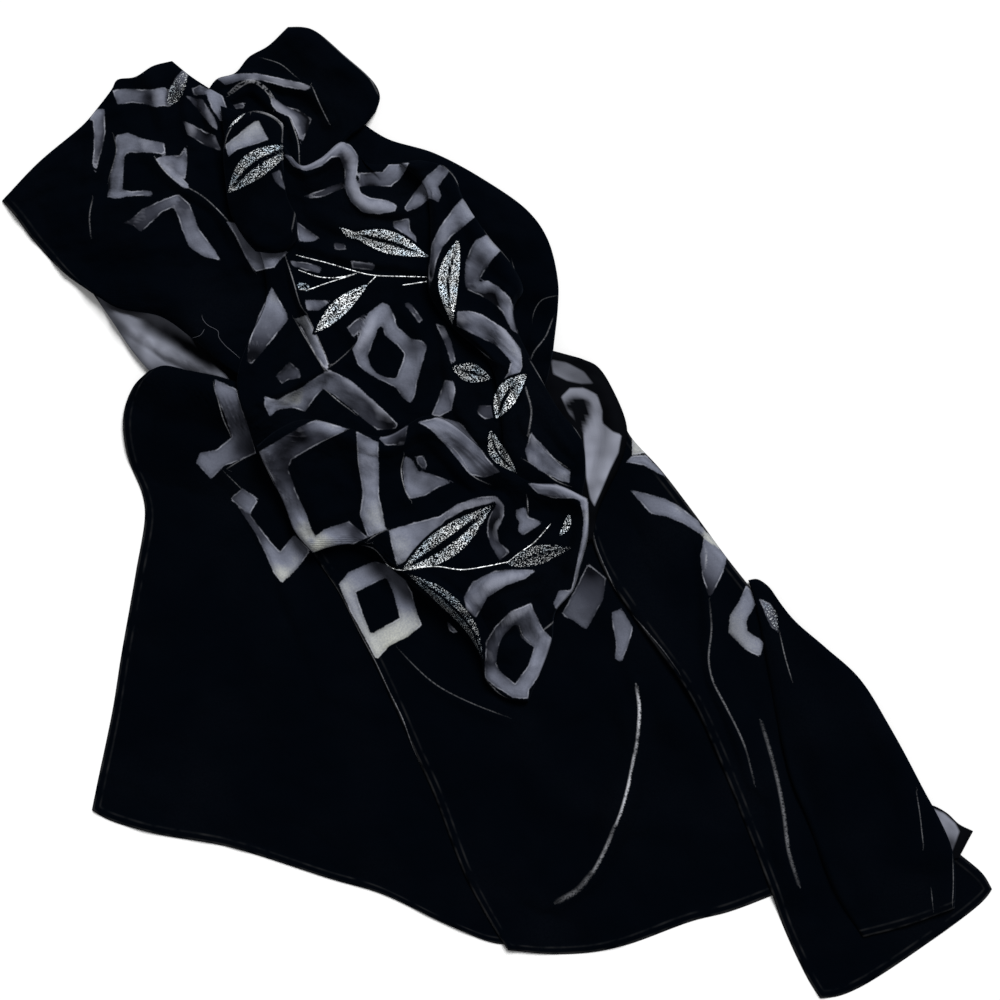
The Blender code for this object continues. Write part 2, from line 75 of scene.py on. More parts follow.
# The hidden layers: each one is set in from the layer below, and its edge is a round fold.
LAYERS = 4
LAYER_HEIGHT = 6.0
LAYER_SET_IN = 15.0
LAYER_EDGE = ((2.0, 0.0), (0.6, 0.6), (0.0, 2.0), (0.1, 3.6), (0.9, 5.0), (2.6, 5.8), (5.0, 6.0))
LAYER_POINTS = 180
LAYER_WAVE = 1.6
RAYS = 900  # rays from the middle that fill the hidden layers' part of the height map
CORE_MIDDLE = (350.0, 362.0)
CORE_OUTLINE = (
    (205, 116), (255, 114), (308, 146), (380, 168), (436, 182), (478, 225), (500, 262),
    (506, 300), (512, 350), (540, 402), (566, 440), (572, 500), (560, 560), (535, 612),
    (502, 632), (462, 606), (404, 566), (350, 536), (306, 510), (272, 470), (243, 420),
    (222, 392), (190, 345), (152, 300), (122, 250), (116, 190), (150, 142),
)  # fmt: skip

# How a side of a stretch ends: the height of the rolled edge, its radius, how far it reaches.
Edge = namedtuple("Edge", "height radius reach")
EDGES = {
    "tucked": Edge(0.0, 30.0, 1.0),
    "hem": Edge(0.0, 12.0, 1.0),
    "soft": Edge(2.0, 12.0, 16.0),
    "fold": Edge(5.0, 14.0, 24.0),
    "roll": Edge(9.0, 20.0, 34.0),
}

# A stretch is a sheet between four sides. Each side runs between two of the corners, which go
# round from the back left. back and front run left to right, left and right run back to front.
Stretch = namedtuple("Stretch", "name cloth step puff edges held corners back front left right")
PANEL = 3.4  # grid step on a stretch that lies flat
GATHER = 2.3  # grid step on a gathered stretch
CROWDING = 0.45  # how far grid lines crowd towards a stretch's sides, of 1
STRETCHES = (
    Stretch(
        "turned_back", "reverse", GATHER, 5.0, ("tucked", "tucked", "fold", "tucked"), "folded",
        ((92, 292), (262, 350), (262, 410), (168, 395)),
        back=((140, 285), (200, 305)),
        front=((210, 405),),
        left=((112, 321), (133, 352), (150, 372)),
        right=(),
    ),
    Stretch(
        "end_left", "velvet", PANEL, 0.0, ("roll", "hem", "hem", "tucked"), "laid",
        ((150, 371), (275, 386), (540, 940), (92, 810)),
        back=((165, 366), (190, 371), (220, 377), (245, 384)),
        front=((107, 819), (152, 833), (229, 847), (331, 879), (382, 894), (450, 926), (500, 944)),
        left=((134, 386), (125, 407), (123, 427), (128, 458), (142, 493), (145, 514), (136, 572),
              (121, 657), (113, 708), (97, 785)),
        right=((295, 440), (320, 495), (350, 545), (410, 660), (445, 740), (490, 850), (520, 910)),
    ),
    Stretch(
        "end_centre", "velvet", PANEL, 0.0, ("tucked", "hem", "hem", "tucked"), "laid",
        ((300, 520), (600, 520), (800, 884), (508, 950)),
        back=((350, 500), (420, 510), (500, 520)),
        front=((552, 954), (593, 952), (629, 944), (692, 921), (731, 911)),
        left=((313, 552), (339, 593), (361, 636), (386, 687), (412, 746), (433, 792), (465, 875),
              (494, 928)),
        right=((640, 590), (680, 650), (715, 700), (740, 750), (785, 850)),
    ),
    Stretch(
        "tail_under", "velvet", PANEL, 0.0, ("tucked", "hem", "hem", "hem"), "laid",
        ((585, 500), (622, 420), (992, 889), (820, 998)),
        back=((605, 460),),
        front=((838, 996), (862, 986), (922, 947), (983, 901)),
        left=((589, 526), (602, 567), (638, 623), (686, 690), (714, 748), (743, 819), (771, 892),
              (784, 928), (808, 979)),
        right=((631, 437), (661, 470), (694, 513), (724, 554), (742, 577), (765, 605), (788, 628),
               (838, 668), (866, 707), (904, 769), (924, 811), (950, 845), (983, 874)),
    ),
    Stretch(
        "turned_corner", "reverse", GATHER, 1.5, ("hem", "tucked", "tucked", "hem"), "folded",
        ((905, 800), (973, 831), (958, 858), (900, 850)),
        back=((932, 805), (947, 813), (959, 824)),
        front=((930, 862),),
        left=(),
        right=(),
    ),
    Stretch(
        "tail_over", "velvet", PANEL, 1.5, ("soft", "hem", "soft", "fold"), "folded",
        ((748, 580), (776, 598), (954, 908), (863, 937)),
        back=((757, 579), (769, 587)),
        front=((898, 928), (922, 920)),
        left=((754, 600), (760, 625), (768, 671), (789, 773), (807, 819), (835, 893)),
        right=((794, 620), (825, 647), (859, 678), (891, 729), (922, 787), (950, 845), (955, 882)),
    ),
    Stretch(
        "right_loop", "reverse", GATHER, 5.0, ("fold", "tucked", "tucked", "soft"), "folded",
        ((530, 345), (580, 358), (592, 540), (570, 545)),
        back=((554, 351),),
        front=(),
        left=((545, 390), (555, 430), (562, 500)),
        right=((597, 366), (612, 388), (627, 429), (621, 462), (599, 508)),
    ),
    Stretch(
        "back_border", "velvet", GATHER, 5.0, ("fold", "tucked", "tucked", "soft"), "folded",
        ((350, 115), (553, 352), (538, 400), (345, 175)),
        back=((365, 125), (388, 139), (434, 153), (483, 179), (529, 212), (548, 240), (558, 281),
              (558, 306)),
        front=((390, 190), (435, 200), (465, 235), (490, 275), (500, 320), (512, 360)),
        left=((340, 150),),
        right=((546, 383),),
    ),
    Stretch(
        "top_flap", "velvet", GATHER, 3.0, ("fold", "soft", "tucked", "fold"), "folded",
        ((208, 90), (288, 27), (376, 112), (245, 150)),
        back=((217, 79), (235, 73), (249, 57), (268, 46)),
        front=((290, 190), (330, 165), (348, 140), (365, 126)),
        left=((230, 130),),
        right=((311, 29), (344, 55), (375, 84), (380, 97)),
    ),
    Stretch(
        "end_top_left", "velvet", GATHER, 3.0, ("soft", "soft", "hem", "tucked"), "folded",
        ((2, 201), (172, 61), (262, 390), (92, 293)),
        back=((38, 163), (84, 124), (96, 110), (112, 89), (117, 80), (135, 77), (153, 66)),
        front=((120, 309), (163, 318), (196, 341), (225, 365)),
        left=((15, 216), (33, 240), (64, 273)),
        right=((189, 75), (208, 88), (232, 104), (252, 140), (268, 190), (289, 258), (284, 320)),
    ),
    Stretch(
        "bunch_upper", "velvet", GATHER, 6.0, ("fold", "tucked", "soft", "tucked"), "folded",
        ((222, 108), (425, 163), (530, 500), (258, 455)),
        back=((262, 122), (283, 145), (303, 168), (321, 161), (345, 143), (366, 164), (392, 166)),
        front=((300, 450), (345, 455), (385, 462), (425, 448), (470, 452)),
        left=((228, 150), (238, 200), (262, 255), (268, 300), (250, 345), (240, 385), (250, 425)),
        right=((455, 200), (458, 290), (480, 325), (505, 355), (520, 400), (530, 450)),
    ),
    Stretch(
        "right_fold", "velvet", GATHER, 7.0, ("soft", "tucked", "fold", "fold"), "folded",
        ((400, 165), (442, 167), (580, 505), (505, 478)),
        back=((420, 163),),
        front=((540, 492),),
        left=((425, 190), (431, 246), (429, 292), (452, 328), (488, 361), (498, 395), (503, 440)),
        right=((453, 174), (463, 199), (488, 237), (510, 263), (523, 291), (514, 308),
               (517, 330), (534, 366), (558, 409), (581, 439), (585, 470)),
    ),
    Stretch(
        "rolled_fold", "velvet", GATHER, 5.0, ("fold", "fold", "fold", "fold"), "folded",
        ((230, 133), (285, 127), (300, 241), (258, 254)),
        back=((240, 122), (256, 114), (274, 118)),
        front=((275, 256), (290, 253)),
        left=((226, 150), (228, 185), (233, 215), (246, 240)),
        right=((286, 170), (289, 199), (298, 219)),
    ),
    Stretch(
        "bunch_lower", "velvet", GATHER, 6.0, ("fold", "soft", "soft", "fold"), "folded",
        ((259, 447), (588, 499), (528, 702), (313, 553)),
        back=((278, 432), (300, 421), (320, 421), (345, 427), (385, 437), (425, 417), (445, 420),
              (495, 460), (530, 482), (560, 485)),
        front=((330, 547), (350, 544), (374, 549), (388, 565), (411, 584), (441, 606), (465, 630),
               (480, 656), (486, 681), (505, 697)),
        left=((268, 470), (284, 502), (295, 531)),
        right=((588, 534), (577, 579), (572, 592), (555, 613), (552, 640)),
    ),
)  # fmt: skip

# A fold runs along its guide, stands up by its height and falls to nothing at its half width.
# A height below 0 is a trough. lean above 0 steepens its left side, below 0 its right. crest is
# 0 on a round fold and 1 on one that comes to a sharp line.
Fold = namedtuple("Fold", "stretch half_width height lean guide crest", defaults=(0.0,))
FOLDS = (
    Fold("turned_back", 14, 8, 0.2, ((120, 316), (165, 348), (226, 378))),
    Fold("turned_back", 11, -6, 0.0, ((150, 327), (180, 340), (212, 362))),
    Fold("end_left", 62, 17, 0.0, ((148, 425), (190, 430), (245, 445))),
    Fold("end_left", 30, 9, 0.0, ((160, 392), (200, 395), (250, 408))),
    Fold("end_left", 20, 5, 0.3, ((215, 462), (244, 492), (283, 575), (330, 690))),
    Fold("end_left", 48, 5, 0.0, ((185, 520), (175, 640), (150, 770))),
    Fold("end_left", 50, 5, 0.0, ((270, 600), (300, 720), (360, 850))),
    Fold("end_centre", 16, 5, 0.3, ((400, 649), (424, 677), (452, 697), (510, 719))),
    Fold("end_centre", 22, 10, -0.3, ((636, 689), (638, 750), (620, 815), (598, 866), (557, 901))),
    Fold("end_centre", 44, 6, 0.0, ((545, 700), (556, 770), (530, 870))),
    Fold("end_centre", 36, 7, 0.2, ((610, 590), (650, 670), (690, 760))),
    Fold("tail_under", 18, 8, 0.4, ((703, 545), (709, 600), (712, 672), (735, 725), (754, 783))),
    Fold("tail_under", 16, 6, -0.3, ((754, 717), (779, 778), (789, 860), (810, 926))),
    Fold("tail_under", 26, 6, 0.0, ((612, 560), (650, 625), (690, 680), (722, 740))),
    Fold("tail_under", 36, 5, 0.0, ((650, 490), (672, 560), (680, 620))),
    Fold("tail_over", 40, 8, 0.2, ((785, 640), (810, 720), (850, 820), (890, 905))),
    Fold("tail_over", 30, 5, 0.0, ((845, 690), (880, 760), (912, 850), (925, 895))),
    Fold("right_loop", 13, 11, -0.2, ((600, 388), (614, 415), (615, 440), (603, 478), (595, 512))),
    Fold("right_loop", 15, 8, 0.0, ((560, 390), (570, 430), (578, 480))),
    Fold("back_border", 24, 9, 0.0, ((385, 155), (440, 178), (490, 213), (528, 258), (538, 340))),
    Fold("top_flap", 9, 8, 0.0, ((212, 90), (233, 78), (289, 86), (314, 93), (329, 123))),
    Fold("top_flap", 10, 10, 0.2, ((227, 98), (254, 90), (274, 108), (292, 125), (300, 164))),
    Fold("top_flap", 40, 8, 0.0, ((296, 50), (335, 78), (352, 105))),
    Fold("end_top_left", 12, 5, 0.0, ((98, 116), (95, 150), (91, 235))),
    Fold("end_top_left", 16, 9, 0.3, ((150, 155), (189, 190), (222, 212), (245, 262))),
    Fold("end_top_left", 11, 8, 0.0, ((150, 75), (160, 100), (168, 145))),
    Fold("end_top_left", 10, 9, 0.0, ((182, 72), (188, 100), (196, 145))),
    Fold("end_top_left", 10, 8, 0.0, ((204, 92), (214, 120), (226, 160))),
    Fold("end_top_left", 46, 8, 0.0, ((60, 185), (110, 230), (165, 285))),
    Fold("end_top_left", 20, 8, 0.0, ((115, 295), (165, 300), (205, 325), (240, 365))),
    Fold("bunch_upper", 11, 12, 0.0, ((292, 162), (303, 171), (321, 165), (343, 150), (354, 165),
                                      (357, 192), (368, 206), (398, 211), (420, 205))),
    Fold("bunch_upper", 10, 8, 0.2, ((300, 245), (350, 260), (400, 268), (430, 274)), 0.5),
    Fold("bunch_upper", 11, 8, -0.2, ((318, 215), (350, 228), (405, 236))),
    Fold("bunch_upper", 11, 10, 0.3, ((289, 258), (297, 285), (308, 312), (330, 370)), 0.7),
    Fold("bunch_upper", 12, 8, 0.0, ((385, 305), (368, 335), (352, 358), (330, 375)), 0.4),
    Fold("bunch_upper", 13, 10, -0.3, ((330, 370), (362, 392), (400, 425)), 0.5),
    Fold("bunch_upper", 12, 7, 0.0, ((410, 315), (426, 345), (428, 372), (415, 408))),
    Fold("bunch_upper", 13, 10, 0.3, ((266, 403), (300, 384), (330, 370)), 0.5),
    Fold("bunch_upper", 13, 8, 0.2, ((442, 340), (452, 375), (462, 410), (480, 435))),
    Fold("right_fold", 12, 8, -0.3, ((445, 174), (463, 204), (485, 242), (507, 270), (513, 292),
                                     (506, 312), (512, 345), (526, 382), (548, 420), (568, 455))),
    Fold("right_fold", 11, 8, 0.3, ((434, 205), (440, 250), (440, 288), (460, 322), (497, 362))),
    Fold("right_fold", 9, 7, -0.4, ((455, 313), (483, 318), (505, 336), (522, 358)), 0.4),
    Fold("right_fold", 9, 6, -0.4, ((477, 284), (498, 286), (513, 303), (520, 330)), 0.4),
    Fold("right_fold", 10, 7, 0.0, ((513, 372), (524, 395), (526, 425), (545, 450), (565, 470))),
    Fold("rolled_fold", 25, 12, 0.0, ((258, 122), (258, 160), (263, 200), (277, 245))),
    Fold("bunch_lower", 11, 7, -0.5, ((262, 450), (298, 428), (320, 422), (352, 430)), 0.4),
    Fold("bunch_lower", 9, 6, 0.0, ((345, 440), (388, 449), (428, 430), (470, 450))),
    Fold("bunch_lower", 11, 8, 0.2, ((425, 432), (450, 458), (467, 478), (482, 490))),
    Fold("bunch_lower", 9, 8, 0.0, ((440, 515), (480, 502), (499, 500), (504, 515), (498, 532),
                                    (510, 547))),
    Fold("bunch_lower", 11, 8, 0.0, ((392, 566), (445, 595), (470, 618), (484, 650), (490, 682))),
    Fold("bunch_lower", 11, 8, -0.4, ((548, 482), (584, 498), (586, 530), (577, 565), (570, 590),
                                      (556, 614), (543, 631)), 0.6),
    Fold("bunch_lower", 10, 7, 0.0, ((468, 606), (492, 584), (535, 572))),
    Fold("bunch_lower", 10, 7, 0.0, ((492, 655), (505, 622), (530, 608), (545, 640))),
    Fold("bunch_lower", 18, 6, 0.0, ((300, 455), (312, 492), (328, 532))),
    Fold("bunch_lower", 16, 6, 0.0, ((362, 448), (372, 485), (378, 530))),
)  # fmt: skip

# Unevenness left in each cloth by being crushed: wave length and height of each size of wave.
CRUSH = {GATHER: ((46.0, 2.4), (19.0, 0.7), (8.0, 0.2)), PANEL: ((120.0, 2.0), (38.0, 0.7))}
WAVES = 26  # waves of each size, in as many directions

# A piece of sheer ground, where the pile is burnt out, and the stretches that it lies on. shade
# is the light that it catches, as painted light and shade in its colour: 0 in deep folds, 1 in
# the open, 2 where it lies straight on the pale surface. fall is how much more painted light it
# has at its right and front ends than in the middle. hole is a square's velvet middle.
Sheer = namedtuple("Sheer", "stretch shade fall corners hole", defaults=((),))
SHEERS = (
    Sheer("end_top_left", 0.72, (0.07, -0.14), ((113, 90), (130, 89), (153, 91), (165, 88),
          (169, 93), (168, 107), (156, 108), (144, 104), (133, 103), (118, 105))),
    Sheer("end_top_left", 0.5, (-0.28, -0.4), ((90, 120), (98, 109), (105, 110), (106, 133),
          (102, 153), (97, 175), (94, 164), (95, 136), (94, 122))),
    Sheer("end_top_left", 0.88, (-0.07, 0.07), ((116, 136), (128, 133), (144, 140), (166, 145),
          (167, 157), (153, 154), (128, 153), (125, 158), (124, 191), (134, 193), (144, 192),
          (154, 193), (154, 198), (141, 197), (128, 198), (119, 200), (109, 198), (109, 181),
          (116, 158), (117, 150))),
    Sheer("end_top_left", 0.8, (0.14, -0.21), ((158, 161), (165, 158), (181, 157), (188, 147),
          (189, 164), (188, 181), (185, 181), (173, 170), (163, 165))),
    Sheer("end_top_left", 0.95, (0, 0), ((157, 160), (161, 161), (176, 172), (191, 187), (192, 191),
          (187, 191), (172, 179))),
    Sheer("end_top_left", 0.38, (0.28, -0.14), ((125, 224), (133, 221), (144, 211), (161, 203),
          (181, 196), (186, 204), (172, 211), (164, 214), (153, 225), (143, 234), (136, 227))),
    Sheer("end_top_left", 0.72, (0, 0.28), ((181, 196), (192, 206), (195, 214), (201, 231),
          (212, 245), (223, 262), (206, 258), (192, 249), (184, 231), (181, 220), (176, 209))),
    Sheer("end_top_left bunch_upper", 0.78, (-0.14, 0.14), ((229, 224), (243, 226), (254, 234),
          (262, 251), (285, 252), (291, 255), (282, 262), (277, 270), (257, 273), (248, 259),
          (237, 237))),
    Sheer("end_top_left", 0.45, (0, 0), ((192, 89), (201, 86), (209, 90), (206, 96), (195, 96))),
    Sheer("end_top_left", 0.85, (0, -0.14), ((206, 91), (217, 89), (223, 96), (229, 113),
          (232, 122), (223, 124), (213, 110), (209, 100))),
    Sheer("end_top_left", 0.45, (0, 0.14), ((187, 97), (203, 100), (217, 121), (220, 133),
          (212, 127), (201, 113))),
    Sheer("end_top_left rolled_fold", 0.28, (0.14, 0), ((184, 122), (201, 130), (217, 138),
          (223, 153), (206, 147), (189, 136))),
    Sheer("top_flap", 0.45, (-0.14, -0.21), ((217, 79), (234, 75), (257, 75), (279, 79), (302, 84),
          (313, 89), (307, 92), (285, 88), (262, 82), (240, 82), (226, 86))),
    Sheer("top_flap", 0.48, (0, -0.14), ((271, 96), (285, 107), (299, 110), (312, 119), (307, 133),
          (302, 147), (299, 136), (291, 119), (279, 114), (272, 106))),
    Sheer("top_flap", 0.5, (0, 0), ((228, 107), (246, 103), (244, 109), (232, 110))),
    Sheer("rolled_fold", 1.1, (-0.07, -0.21), ((229, 150), (240, 141), (257, 127), (262, 126),
          (272, 145), (257, 150), (240, 155), (232, 161))),
    Sheer("rolled_fold", 0.6, (0.28, 0), ((275, 179), (283, 174), (288, 194), (279, 187))),
    Sheer("bunch_upper", 0.65, (0, 0.28), ((297, 223), (317, 237), (321, 240), (313, 244),
          (301, 244))),
    Sheer("bunch_upper", 0.8, (0.14, 0), ((286, 158), (294, 160), (302, 166), (312, 165),
          (322, 157), (334, 148), (343, 145), (353, 148), (359, 158), (359, 170), (357, 182),
          (362, 196), (372, 201), (388, 203), (398, 208), (396, 214), (380, 217), (364, 215),
          (352, 204), (346, 190), (346, 172), (341, 160), (334, 161), (324, 170), (308, 175),
          (296, 170))),
    Sheer("bunch_upper", 0.3, (0, 0), ((305, 199), (325, 192), (343, 184), (345, 190), (325, 199),
          (312, 201))),
    Sheer("bunch_upper right_fold", 0.65, (0.14, -0.14), ((360, 175), (383, 175), (390, 166),
          (410, 167), (401, 181), (392, 189), (370, 188), (361, 190))),
    Sheer("bunch_upper right_fold", 0.7, (-0.14, -0.21), ((405, 210), (414, 196), (428, 179),
          (441, 168), (450, 174), (439, 190), (442, 199), (439, 206), (430, 201), (419, 210),
          (408, 214))),
    Sheer("bunch_upper right_fold", 0.8, (0, 0), ((394, 223), (410, 220), (411, 232), (417, 239),
          (417, 246), (408, 243), (401, 233), (394, 230))),
    Sheer("bunch_upper", 0.35, (0, 0), ((335, 244), (346, 246), (348, 252), (337, 252))),
    Sheer("bunch_upper", 0.6, (0, 0), ((292, 263), (308, 264), (324, 270), (321, 275), (308, 272),
          (295, 268))),
    Sheer("bunch_upper", 0.4, (0, 0), ((352, 263), (376, 266), (375, 272), (354, 270))),
    Sheer("bunch_upper", 0.65, (0, -0.14), ((307, 302), (334, 302), (320, 312), (309, 312))),
    Sheer("bunch_upper", 0.5, (0, 0.14), ((348, 329), (365, 315), (365, 328), (354, 339))),
    Sheer("bunch_upper end_top_left", 0.6, (0, -0.4), ((274, 289), (289, 315), (290, 321),
          (273, 344), (255, 366), (250, 363), (252, 344), (260, 318))),
    Sheer("bunch_upper", 1.05, (0, -0.21), ((297, 320), (308, 317), (318, 337), (331, 366),
          (327, 371), (318, 357), (305, 334))),
    Sheer("bunch_upper right_fold", 0.85, (-0.07, -0.07), ((383, 304), (389, 306), (395, 317),
          (398, 328), (412, 340), (423, 342), (428, 348), (425, 357), (422, 368), (418, 382),
          (416, 395), (412, 404), (405, 400), (396, 388), (383, 382), (369, 374), (359, 366),
          (354, 350), (358, 344), (363, 330), (369, 315)), ((383, 327), (386, 337), (398, 346),
          (405, 355), (404, 362), (397, 379), (389, 379), (378, 375), (371, 366), (369, 357),
          (374, 344), (379, 330))),
    Sheer("bunch_upper", 0.85, (-0.1, 0), ((279, 402), (290, 395), (306, 387), (317, 379),
          (331, 371), (326, 388), (317, 398), (307, 412), (300, 410), (288, 407))),
    Sheer("bunch_upper", 0.6, (-0.14, -0.21), ((331, 371), (353, 382), (385, 411), (398, 424),
          (398, 429), (379, 431), (359, 415), (337, 397), (324, 389))),
    Sheer("bunch_upper end_left end_top_left", 0.9, (0, -0.14), ((268, 398), (286, 403), (294, 408),
          (279, 411), (273, 418), (268, 408))),
    Sheer("bunch_upper", 0.45, (0, -0.14), ((278, 377), (291, 363), (301, 371), (303, 379),
          (290, 381), (284, 385))),
    Sheer("bunch_upper", 0.35, (0, 0), ((405, 305), (411, 304), (424, 322), (420, 325))),
    Sheer("bunch_upper right_fold", 0.35, (0, 0.14), ((436, 325), (445, 328), (452, 344),
          (456, 362), (452, 366), (445, 344))),
    Sheer("bunch_upper right_fold bunch_lower", 0.6, (0, 0), ((445, 381), (454, 382), (456, 391),
          (452, 411), (441, 417), (432, 416), (438, 402))),
    Sheer("bunch_upper right_fold bunch_lower", 0.35, (0, 0), ((479, 406), (496, 406), (499, 417),
          (485, 420), (477, 414))),
    Sheer("bunch_upper right_fold", 0.7, (0.21, -0.28), ((463, 201), (477, 218), (452, 239),
          (443, 250), (437, 266), (434, 281), (430, 292), (429, 268), (432, 248), (441, 230),
          (452, 214))),
    Sheer("right_fold", 0.82, (0.15, -0.15), ((476, 243), (487, 237), (502, 251), (491, 263),
          (481, 279), (477, 288), (467, 295), (465, 282), (466, 264), (470, 252))),
    Sheer("right_fold", 0.8, (0, -0.1), ((469, 293), (476, 285), (487, 282), (499, 289), (510, 300),
          (519, 321), (518, 335), (511, 331), (503, 314), (493, 304), (481, 297))),
    Sheer("right_fold bunch_upper", 0.68, (0.28, 0), ((458, 314), (470, 313), (482, 316),
          (505, 331), (521, 351), (522, 369), (517, 379), (507, 387), (499, 387), (508, 375),
          (511, 363), (497, 347), (473, 336), (457, 328))),
    Sheer("right_fold bunch_lower", 0.72, (0.14, 0.14), ((531, 432), (536, 440), (543, 446),
          (558, 463), (570, 472), (569, 483), (558, 480), (540, 471), (528, 462), (525, 451))),
    Sheer("bunch_lower", 0.72, (0.28, -0.14), ((528, 484), (549, 481), (567, 489), (586, 498),
          (586, 504), (573, 498), (552, 498), (537, 493))),
    Sheer("bunch_lower bunch_upper", 0.72, (-0.14, 0), ((419, 423), (440, 418), (461, 423),
          (473, 439), (491, 463), (500, 472), (485, 478), (470, 475), (461, 463), (446, 445),
          (431, 430))),
    Sheer("bunch_lower", 0.55, (-0.35, -0.28), ((382, 436), (389, 429), (409, 426), (407, 440),
          (405, 446), (387, 446), (381, 440))),
    Sheer("bunch_lower", 0.68, (-0.14, 0), ((406, 456), (413, 460), (419, 471), (431, 474),
          (454, 482), (440, 487), (425, 496), (410, 499), (406, 490), (403, 469))),
    Sheer("bunch_lower", 0.5, (0, -0.28), ((416, 457), (424, 456), (428, 465), (425, 471),
          (419, 465))),
    Sheer("bunch_lower", 0.6, (0.05, 0), ((261, 453), (279, 443), (305, 427), (319, 420),
          (350, 430), (331, 439), (311, 450), (294, 460), (290, 469), (298, 492), (308, 514),
          (313, 529), (317, 536), (326, 529), (350, 521), (369, 537), (356, 543), (337, 553),
          (328, 563), (322, 561), (314, 552), (305, 543), (292, 527), (286, 508), (273, 476))),
    Sheer("bunch_lower", 0.95, (0.07, 0.07), ((358, 432), (380, 443), (380, 495), (387, 529),
          (369, 537), (361, 514), (364, 495), (360, 463))),
    Sheer("bunch_lower", 0.65, (-0.35, 0.14), ((390, 530), (413, 523), (440, 516), (458, 504),
          (479, 497), (496, 496), (504, 505), (504, 516), (497, 530), (499, 542), (510, 551),
          (500, 560), (491, 545), (487, 533), (488, 520), (493, 508), (485, 504), (464, 510),
          (446, 520), (431, 539), (430, 548), (415, 551), (413, 557), (398, 565), (394, 551))),
    Sheer("bunch_lower", 0.8, (-0.14, 0), ((516, 510), (525, 507), (528, 517), (543, 522),
          (531, 530), (523, 535), (517, 530), (520, 522), (516, 518))),
    Sheer("bunch_lower", 0.72, (0.07, -0.14), ((464, 596), (473, 581), (495, 570), (512, 569),
          (537, 569), (525, 578), (507, 584), (488, 596), (476, 617), (467, 608))),
    Sheer("bunch_lower", 0.7, (0.28, 0.14), ((485, 662), (486, 641), (495, 626), (510, 611),
          (531, 602), (534, 611), (543, 629), (555, 641), (549, 659), (540, 674), (529, 689),
          (528, 698), (513, 697), (495, 686), (485, 677)), ((496, 662), (498, 647), (503, 635),
          (515, 623), (522, 638), (534, 647), (528, 665), (515, 683), (500, 671))),
    Sheer("bunch_lower", 0.7, (0, 0), ((559, 590), (572, 590), (571, 599), (560, 615), (553, 603))),
    Sheer("end_left", 0.62, (-0.07, 0.07), ((218, 381), (241, 391), (242, 399), (247, 418),
          (258, 453), (241, 460), (225, 466), (212, 479), (197, 463), (201, 453), (218, 450),
          (233, 437), (227, 415), (218, 392))),
    Sheer("end_left", 0.65, (0.14, 0.21), ((230, 499), (243, 488), (259, 499), (250, 515))),
    Sheer("end_left", 0.75, (0.14, 0.4), ((238, 506), (250, 514), (259, 526), (270, 540),
          (280, 552), (294, 535), (311, 550), (298, 568), (282, 583), (274, 573), (265, 552),
          (254, 530))),
    Sheer("end_centre", 1.2, (0.07, 0.35), ((339, 584), (349, 572), (374, 561), (389, 565),
          (405, 579), (412, 592), (416, 610), (422, 625), (407, 637), (389, 646), (379, 657),
          (376, 659), (365, 637), (351, 612)), ((356, 592), (387, 577), (394, 594), (400, 618),
          (387, 625), (371, 634), (365, 619), (360, 605))),
    Sheer("end_centre", 0.42, (-0.14, 0.28), ((573, 593), (588, 563), (606, 578), (603, 599),
          (597, 611), (586, 630), (573, 620), (561, 615))),
    Sheer("end_centre", 0.75, (0, 0.14), ((612, 612), (621, 608), (633, 628), (628, 645),
          (622, 661), (615, 660), (616, 641), (612, 623))),
    Sheer("end_centre", 0.5, (0, 0), ((447, 620), (458, 632), (450, 633))),
    Sheer("tail_under", 1.5, (0, 0), ((632, 436), (646, 453), (632, 455))),
    Sheer("tail_under", 1, (0, 0), ((632, 456), (646, 455), (658, 468), (666, 477), (656, 472),
          (643, 465), (626, 462))),
    Sheer("tail_under", 0.85, (0.21, 0), ((630, 490), (644, 493), (665, 499), (679, 506),
          (697, 520), (707, 534), (700, 534), (683, 523), (665, 516), (651, 514), (642, 504))),
    Sheer("tail_under", 0.68, (0.21, -0.35), ((704, 537), (714, 544), (727, 556), (723, 572),
          (714, 590), (709, 598), (702, 576), (700, 555))),
    Sheer("tail_under", 1.05, (-0.14, 0.14), ((746, 585), (758, 599), (753, 608), (746, 622),
          (748, 632), (760, 639), (764, 643), (760, 657), (746, 650), (728, 632), (730, 615),
          (739, 601))),
    Sheer("turned_corner", 0.6, (0.1, -0.3), ((928, 806), (944, 813), (955, 823), (959, 831),
          (951, 851), (940, 850))),
    Sheer("right_loop", 0.5, (-0.15, -0.05), ((551, 360), (567, 363), (584, 372), (593, 384),
          (581, 384), (567, 381), (553, 374))),
    Sheer("right_loop", 0.95, (0.05, 0.1), ((561, 397), (570, 388), (584, 388), (597, 395),
          (602, 411), (602, 423), (612, 432), (621, 435), (618, 453), (609, 471), (602, 488),
          (594, 506), (590, 499), (586, 478), (584, 446), (583, 432), (575, 421), (568, 413))),
    Sheer("turned_back", 0.62, (0.07, 0.14), ((90, 282), (117, 300), (140, 306), (168, 316),
          (190, 334), (200, 352), (228, 376), (240, 395), (180, 400), (147, 374), (129, 351),
          (110, 322))),
    Sheer("tail_over", 0.6, (-0.14, -0.21), ((759, 599), (770, 603), (775, 612), (778, 632),
          (770, 626), (764, 612))),
    Sheer("end_top_left", 0.5, (0.1, -0.2), ((166, 106), (169, 92), (175, 80), (184, 70), (190, 70),
          (187, 82), (179, 96), (170, 108))),
    Sheer("tail_under", 1.6, (0, 0), ((704, 531), (708, 533), (723, 549), (712, 546), (703, 540))),
    Sheer("bunch_lower", 0.85, (0, 0), ((579, 500), (589, 502), (590, 524), (586, 546), (579, 572),
          (575, 590), (571, 590), (577, 560), (582, 535), (583, 518))),
)  # fmt: skip
